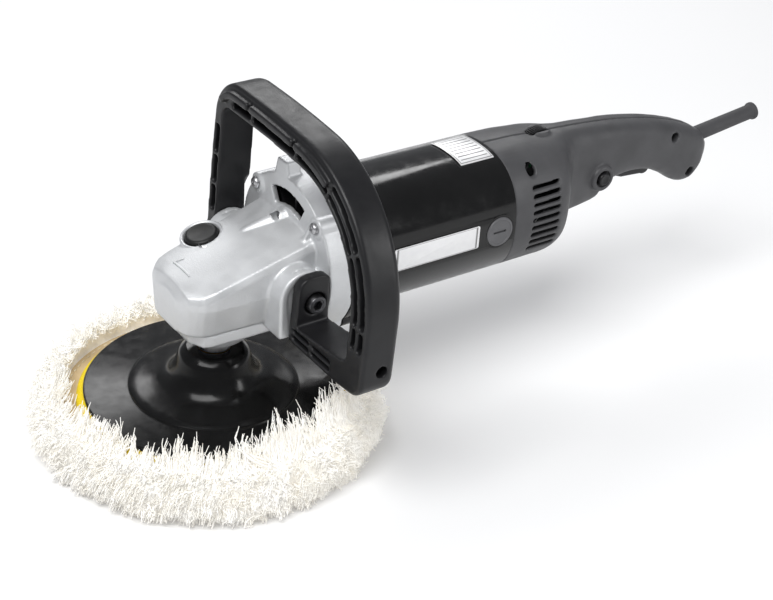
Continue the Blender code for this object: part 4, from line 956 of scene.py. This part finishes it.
outer_edge = [*arc((FAR_Y - FAR_R, CREST_Z - FAR_R), FAR_R, 0, 90, 16), *rail(0)[13:-8]]
outer_edge += arc((NEAR_Y + 12, LOW_Z + 12), 12, 180, 270, 8)
inner_edge = list(reversed(rail(20)[13:-8]))
handle_line = [(FAR_Y, BOLT_Z - 17), *outer_edge, (-FOOT, LOW_Z)]
handle_line += [(-FOOT, BOLT_Z + 20), (-FOOT - 8, BOLT_Z + 20), (-FOOT - 8, BOLT_Z - 15)]
handle_line += arc((NEAR_Y + 25.5, BOLT_Z - 3), 6, -90, -180, 5) + inner_edge
handle_line += arc((FOOT - 8, inner_edge[-1][1] - 8), 8, 90, 0, 6) + [(FOOT, BOLT_Z - 17)]
print(len(handle_line), "points round the handle")

# %% Body of the handle
DEPTH, FRONT_X = 26.3, 28.0
handle = plate("d_handle_moulding", handle_line, 0, DEPTH, "X")
rim_points = {(round(y, 1), round(z, 1)) for y, z in outer_edge}


def on_rim(point):
    return (round(point.y, 1), round(point.z, 1)) in rim_points


pick_edges(handle, lambda a, b: min(a.x, b.x) > 20 and on_rim(a) and on_rim(b))
bevel(9.6, 6)
pick_edges(handle, lambda a, b: max(a.x, b.x) < 1 and on_rim(a) and on_rim(b))
bevel(2.5, 3)


def pocket(name, outline, depth, corner=1.6):
    """A pocket cutter with rounded corners, going in from the front."""
    tool = plate(name, outline, -4, depth, "X")
    corners = [outline[0], outline[len(outline) // 2 - 1], outline[len(outline) // 2], outline[-1]]

    def stands(a, b):
        return abs(a.x - b.x) > 1 and any(math.dist((a.y, a.z), spot) < 0.2 for spot in corners)

    pick_edges(tool, stands)
    bevel(corner, 3)
    return tool


RIBS = ((15, 231), (-37, 230), (-83, 219), (-116, 186), (-129, 139))


def on_foot_top(point):
    return -60 < point.y < -51 and abs(point.z - BOLT_Z - 20) < 0.5


pick_edges(handle, lambda a, b: on_foot_top(a) and on_foot_top(b) and abs(a.x - b.x) < 0.1)
bevel(9, 6)
stops = [(5.0, 1.0)] + [station(spot) for spot in RIBS] + [(66.5, 4.5)]
for row, (near, far, half_rib) in enumerate(((4.6, 9.8, 1.2), (12.8, 17.0, 1.1))):
    for i, ((start, step), (end, next_step)) in enumerate(zip(stops, stops[1:])):
        first = start + half_rib / step * (i > 0)
        last = end - half_rib / next_step * (i < len(stops) - 2)
        if row and i == 0:
            first = 8.5
        outline = along(near, first, last) + list(reversed(along(far, first, last)))
        cut(handle, pocket("pocket", outline, 17))
for low, high in ((182, 203), (159.5, 179.5), (138, 157)):
    cut(handle, pocket("far_pocket", [(54, low), (59.2, low), (59.2, high), (54, high)], 14, 1.2))
for start, end in ((-55.5, -75.5), (-78.5, -101)):
    for low, high in ((94.6, 97.6), (99.6, 102.6)):
        cut(handle, pocket("low_pocket", [(start, low), (start, high), (end, high), (end, low)], 14, 0.8))
print(len(handle.data.polygons), "faces with its pockets")

# %% Seats, holes and finish of the handle
lean = Matrix(((1, 0, 0.06, FRONT_X * MM - 0.06 * BOLT_Z * MM), (0, 1, 0, 0), (0, 0, 1, 0), (0, 0, 0, 1)))
handle.data.transform(lean)
for side in (-1, 1):
    cut(handle, rod("bolt_way", 4.3, *sorted((side * 49, side * 66)), at_bolt, "Y", 32))
    cut(handle, rod("head_room", 8, *sorted((side * 55.5, side * 70)), at_bolt, "Y", 48))
cut(handle, rod("flange_room", 63, 53, 75, on_motor, "X", 96))
cut(handle, rod("key_hole", 4.2, NEAR_Y - 5, NEAR_Y + 9, (43, 0, 110), "Y", 32))
soften(handle, 0.95, 3)
dress(handle, PLASTIC["nylon"], "housing", "d_handle")

# %% [markdown]
# ## Motor cover
# The cover is a glossy black tube whose section is a circle pressed a little towards a square.
# It is extruded from one fine outline, because a remesh would ripple the gloss.

# %% Motor cover
MOTOR_HALF, MOTOR_END, ROUNDNESS = 47.0, 219.0, 2.4
BRUSH_X = 205.0


def oval(half, top, bottom, roundness, count=96):
    """A section between an ellipse and a rounded box, as points of Y and height."""
    points = []
    for i in range(count):
        angle = math.tau * (i + 0.5) / count
        c, s = math.cos(angle), math.sin(angle)
        y = math.copysign(abs(c) ** (2 / roundness), c) * half
        z = math.copysign(abs(s) ** (2 / roundness), s) * (top - bottom) / 2
        points.append((y, (top + bottom) / 2 + z))
    return points


def squircle(half, count=96):
    return oval(half, MOTOR_Z + half, MOTOR_Z - half, ROUNDNESS, count)


cover_front = FLANGE_END + 0.3
motor = plate("motor_cover", squircle(MOTOR_HALF, 144), cover_front + 1, MOTOR_END, "X")
collar = rod("collar", 57, cover_front, cover_front + 8, on_motor, "X", 120)
add(motor, collar)
for y, z in CORNERS:
    add(motor, rod("collar_lug", 7, cover_front + 0.3, cover_front + 7.5, (0, y, z), "X", 24))
at_brush = (BRUSH_X, 0, MOTOR_Z)
for side in (-1, 1):
    add(motor, rod("brush_boss", 13.2, *sorted((side * 38, side * 46.6)), at_brush, "Y", 64))
cut(motor, plate("motor_room", squircle(43.5), cover_front - 1, MOTOR_END - 4.5, "X"))
for y, z in CORNERS:
    cut(motor, rod("screw_way", 2.4, cover_front - 3, cover_front + 10, (0, y, z), "X", 16))
for side in (-1, 1):
    cut(motor, rod("cap_room", 11.6, *sorted((side * 43.9, side * 55)), at_brush, "Y", 64))
    cut(motor, rod("holder_room", 9.3, *sorted((side * 30, side * 55)), at_brush, "Y", 48))
cut(motor, rod("shaft_way", 7, 205, 225, on_motor, "X", 32))
round_edges(motor, 0.7, 3, 40)
dress(motor, PLASTIC["gloss_black"], "housing", "motor_housing")

# %% Brush caps
for name, side in (("left", -1), ("right", 1)):
    cap_profile = (
        (0, 44.4), (11.3, 44.4), (11.35, 47), (11.0, 47.6), (9.7, 47.7), (9.4, 47.3), (8.9, 47.2), (0, 47.3),
    )
    cap = spun(f"brush_cap_disc_{name}", cap_profile, at_brush, "Y", 96, side)
    low = (BRUSH_X - 5.6, side * 46.9 - 0.9, MOTOR_Z - 0.9)
    cut(cap, block("slot", low, (BRUSH_X + 5.6, side * 46.9 + 0.9, MOTOR_Z + 0.9)))
    bpy.ops.object.shade_smooth_by_angle(angle=math.radians(35))
    dress(cap, PLASTIC["cap_grey"], "housing", f"brush_cap_{name}")

# %% [markdown]
# ## Blank plates
# The rating label and the badge are foil. Both stay blank apart from a printed frame and rules.

# %% Label and badge
RATING_X, RATING_Y = (186.0, 215.0), (-20.0, 17.0)
BADGE_X, BADGE_Z = (113.0, 186.0), (117.3, 134.8)


def motor_top(y, stand_off):
    share = (abs(y) / MOTOR_HALF) ** ROUNDNESS
    return MOTOR_Z + MOTOR_HALF * (1 - share) ** (1 / ROUNDNESS) + stand_off


def printed(name, low, high, along_axis, across_axis, rules):
    """Foil with a thin dark frame and a few rules across it."""
    paint = metal(name, "silver_label", (0.80, 0.80, 0.80), 0.34, 0.3, 0.004, (10, 1, 1), 0.06)
    split = paint.node("SeparateXYZ", {}, {"Vector": paint.place})
    sides = {letter: Wire(paint, split.socket.node.outputs[letter]) for letter in "XYZ"}
    u = paint.clip(sides[along_axis], low[0] * MM, high[0] * MM)
    v = paint.clip(sides[across_axis], low[1] * MM, high[1] * MM)
    edge = paint.node("Math", {"operation": "PINGPONG"}, {0: u, 1: 0.5})
    side_edge = paint.node("Math", {"operation": "PINGPONG"}, {0: v, 1: 0.5})
    nearest = paint.node("Math", {"operation": "MINIMUM"}, {0: edge, 1: side_edge})
    ink = paint.clip(nearest, 0.035, 0.05, 1, 0) * paint.clip(nearest, 0.02, 0.03, 0, 1)
    if rules:
        line = paint.node("Math", {"operation": "PINGPONG"}, {0: v * rules, 1: 0.5})
        inside = paint.clip(nearest, 0.1, 0.11)
        ink = ink + paint.clip(line, 0.1, 0.16, 1, 0) * inside
    foil = paint.blend(paint.noise(6, 3), (0.74, 0.74, 0.75), (0.86, 0.86, 0.86))
    paint.set(base_color=paint.blend(ink, foil, (0.12, 0.12, 0.12)), metallic=0.35)
    return paint


ys = [RATING_Y[0] + (RATING_Y[1] - RATING_Y[0]) * i / 24 for i in range(25)]
label_line = [(y, motor_top(y, 0.95)) for y in ys] + [(y, motor_top(y, 0.3)) for y in reversed(ys)]
label = plate("rating_label", label_line, *RATING_X, "X")
round_edges(label, 0.12, 2, 50)
label_paint = printed("label_foil", (RATING_X[0], RATING_Y[0]), (RATING_X[1], RATING_Y[1]), "X", "Y", 9)
dress(label, label_paint, "housing", "rating_plate")

badge = block("badge", (BADGE_X[0], -48.0, BADGE_Z[0]), (BADGE_X[1], -47.3, BADGE_Z[1]))
pick_edges(badge, lambda a, b: abs(a.y - b.y) > 0.5)
bevel(1.2, 4)
round_edges(badge, 0.15, 2, 50)
badge_paint = printed("badge_foil", (BADGE_X[0], BADGE_Z[0]), (BADGE_X[1], BADGE_Z[1]), "X", "Z", 0)
dress(badge, badge_paint, "housing", "badge_plate")

# %% [markdown]
# ## Rear grip
# Two half shells make the grip. Its skin runs from the motor's squarish section to a slim upright
# oval, so it is lofted through sections that are set along it and joined smoothly.

# %% Sections of the grip
# Each row: place along X, then top and bottom above the motor's axis, half-width and squareness.
STATIONS = (
    (219.3, 47.0, -47.0, 47.0, 2.4), (248, 46.3, -46.8, 46.8, 2.4), (262, 45, -46.5, 46.2, 2.4),
    (272, 44.4, -43, 43, 2.5), (279, 44, -36.5, 35, 2.7), (285, 43.7, -31, 26, 2.9),
    (294, 43.2, -27, 19.5, 3.1), (312, 42, -24.5, 17.5, 3.4), (327, 40.6, -21.5, 17, 3.4),
    (333, 39.9, -12, 17, 3.4), (342, 38.9, -8, 17, 3.4), (360, 36, -6, 17, 3.4),
    (380, 32, -9, 17, 3.4), (398, 27.2, -17.5, 17, 3.4), (413, 22.3, -27, 17, 3.4),
    (426, 17, -28, 16.5, 3.3), (434, 12.5, -21, 15, 3.1), (440, 5.5, -12, 11, 2.9),
)


def eased(values, share):
    """A smooth curve between the middle two of four values."""
    a, b, c, d = values
    slopes = (c - a) / 2, (d - b) / 2
    s2, s3 = share * share, share ** 3
    return b + slopes[0] * (s3 - 2 * s2 + share) + slopes[1] * (s3 - s2) + (c - b) * (3 * s2 - 2 * s3)


def grip_rings(inset, last=0, steps=3):
    rows = STATIONS[: len(STATIONS) - last]
    padded_rows = [rows[0], *rows, rows[-1]]
    rings = []
    for i in range(len(rows) - 1):
        for step in range(steps + (i == len(rows) - 2)):
            share = step / steps
            x = rows[i][0] + (rows[i + 1][0] - rows[i][0]) * share
            top, bottom, half, square = (
                eased([padded_rows[i + k][j] for k in range(4)], share) for j in range(1, 5)
            )
            section = oval(half - inset, MOTOR_Z + top - inset, MOTOR_Z + bottom + inset, square, 80)
            rings.append([(x, y, z) for y, z in section])
    return rings


# %% Half shells
LOCK_ON = (325, 0, 125.8)
DIAL = (271, 0, 162.8)
TILT = Matrix.Translation((441, 0, 129.8)) @ Matrix.Rotation(-math.radians(7), 4, "Y")
inside = grip_rings(3.0, 1)
inside = [[(x - 2, y, z) for x, y, z in inside[0]], *inside]
for name, side in (("left", -1), ("right", 1)):
    shell = lofted(f"grip_shell_{name}", grip_rings(0))
    add(shell, rod("dial_frame", 8.4, 150, 171.0, (DIAL[0] + 1, 0, 0), sides=48))
    cut(shell, lofted("grip_room", inside))
    if side < 0:
        add(shell, rod("lock_collar", 10.5, -19.6, -13.5, LOCK_ON, "Y", 48))
    for x, z, reach in SHELL_SCREWS:
        centre = (x, 0, MOTOR_Z + z)
        add(shell, rod("screw_boss", 5.2, *sorted((side * (reach + 2.4), -side * 5)), centre, "Y", 32))
    y0, y1 = sorted((side * 0.15, -side * 60))
    cut(shell, block("other_half", (200, y0, 50), (460, y1, 200)))
    for x, z, reach in SHELL_SCREWS:
        centre = (x, 0, MOTOR_Z + z)
        cut(shell, rod("pilot", 2.2, *sorted((side * (reach - 5), -side * 6)), centre, "Y", 20))
        if side < 0:
            cut(shell, rod("screw_mouth", 4.0, -60, -(reach - 7.6), centre, "Y", 32))
    for i in range(9):
        z = 150.8 - i * 6.1
        y0, y1 = sorted((side * 24, side * 60))
        cut(shell, block("vent", (236, y0, z - 3.3), (262, y1, z)))
    cut(shell, block("trigger_room", (339, -9.3, 104), (388, 9.3, 126.8)))
    cut(shell, rod("dial_room", 11.5, -4.3, 4.3, DIAL, "Y", 48))
    cut(shell, set_down(rod("sleeve_room", 6.5, -13.5, 20, axis="X", sides=32), TILT))
    if side < 0:
        cut(shell, rod("lock_recess", 8, -30, -18, LOCK_ON, "Y", 48))
        cut(shell, rod("lock_way", 5.3, -30, -6, LOCK_ON, "Y", 32))
    soften(shell, 0.95, 2)
    dress(shell, PLASTIC["grip_grey"], "housing", f"handle_shell_{name}")

# %% Lock-on button, trigger and dial
lock_profile = (
    (0, -7.6), (5.9, -7.6), (5.9, -9), (5, -9), (5, -21.4), (4.7, -22.1), (4.0, -22.5), (3.2, -22.4),
    (2.4, -22.2), (0, -22.1),
)
lock_on = spun("lock_on_cap", lock_profile, LOCK_ON, "Y", 64)
bpy.ops.object.shade_smooth_by_angle(angle=math.radians(40))
dress(lock_on, PLASTIC["nylon"], "lock_on_button", "lock_on_button")

ring_profile = (
    (6.6, -16), (6.6, -20.2), (7.1, -20.9), (7.9, -21.2), (9.2, -21.0), (10.2, -20.1), (10.6, -18.6),
    (10.8, -16),
)
collar_ring = spun("lock_on_collar", [*ring_profile, ring_profile[0]], LOCK_ON, "Y", 72)
bpy.ops.object.shade_smooth_by_angle(angle=math.radians(50))
dress(collar_ring, PLASTIC["grip_grey"], "housing")

trigger_line = [(342, 120.8), (347, 117.8), (355, 114.8), *arc((378, 118.5), 6.2, 240, 320, 6)]
trigger_line += [(385, 127.8), (342, 127.8)]
trigger = plate("trigger_lever", trigger_line, -9, 9, "Y")
round_edges(trigger, 1.6, 4, 25)
dress(trigger, PLASTIC["nylon"], "trigger", "trigger")

teeth = 40
dial_line = []
for i in range(teeth):
    for radius, share in ((9.35, -0.36), (10.0, -0.16), (10.0, 0.16), (9.35, 0.36)):
        angle = math.tau * (i + share) / teeth
        dial_line.append((DIAL[0] + radius * math.cos(angle), DIAL[2] + radius * math.sin(angle)))
dial = plate("speed_wheel", dial_line, -3.5, 3.5, "Y")
round_edges(dial, 0.35, 2, 60)
dress(dial, PLASTIC["nylon"], "speed_dial", "speed_dial")

# %% Cord sleeve
sleeve_profile = (
    (3.7, -18), (7.8, -18), (7.8, -15), (6.2, -15), (6.2, 2), (6.0, 40), (6.0, 55.5), (6.4, 56.6),
    (7.1, 57.4), (7.2, 58.6), (7.0, 59.6), (6.4, 60), (4.3, 60), (3.7, 59.4),
)
sleeve = set_down(spun("cord_sleeve_tube", [*sleeve_profile, sleeve_profile[0]], axis="X", steps=72), TILT)
bpy.ops.object.shade_smooth_by_angle(angle=math.radians(40))
dress(sleeve, PLASTIC["sleeve_rubber"], "housing", "cord_sleeve")

# %% [markdown]
# ## Inner parts
# Gears, bearings, windings and brushes show through the windows and when the tool is opened. Their
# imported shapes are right, so they keep them and only get the finish that the real ones have.

# %% Finishes of the inner parts
INNER = {
    "steel": (
        "spindle", "lock_pin", "lock_spring", "brush_spring_left", "brush_spring_right", "bevel_gear",
    ),
    "turned_steel": ("armature_shaft", "pinion", "lower_bearing", "front_bearing", "rear_bearing"),
    "dark_steel": (
        "armature_core", "field_core", *(f"cover_screw_{i}" for i in range(1, 5)),
    ),
    "copper": ("armature_winding", "commutator", "field_winding_lower", "field_winding_upper"),
    "brass": ("thread_insert", "upper_bush", "brush_holder_left", "brush_holder_right"),
    "carbon": ("carbon_brush_left", "carbon_brush_right"),
    "nylon": ("fan", "switch_body"),
    "hook_black": ("hook_layer",),
    "board_green": ("control_board",),
}
FINISHES = {**METAL, **PLASTIC}
for finish, names in INNER.items():
    for name in names:
        for place in NODES[name].material_slots:
            place.material = FINISHES[finish].material
print(sum(len(names) for names in INNER.values()), "inner parts finished")
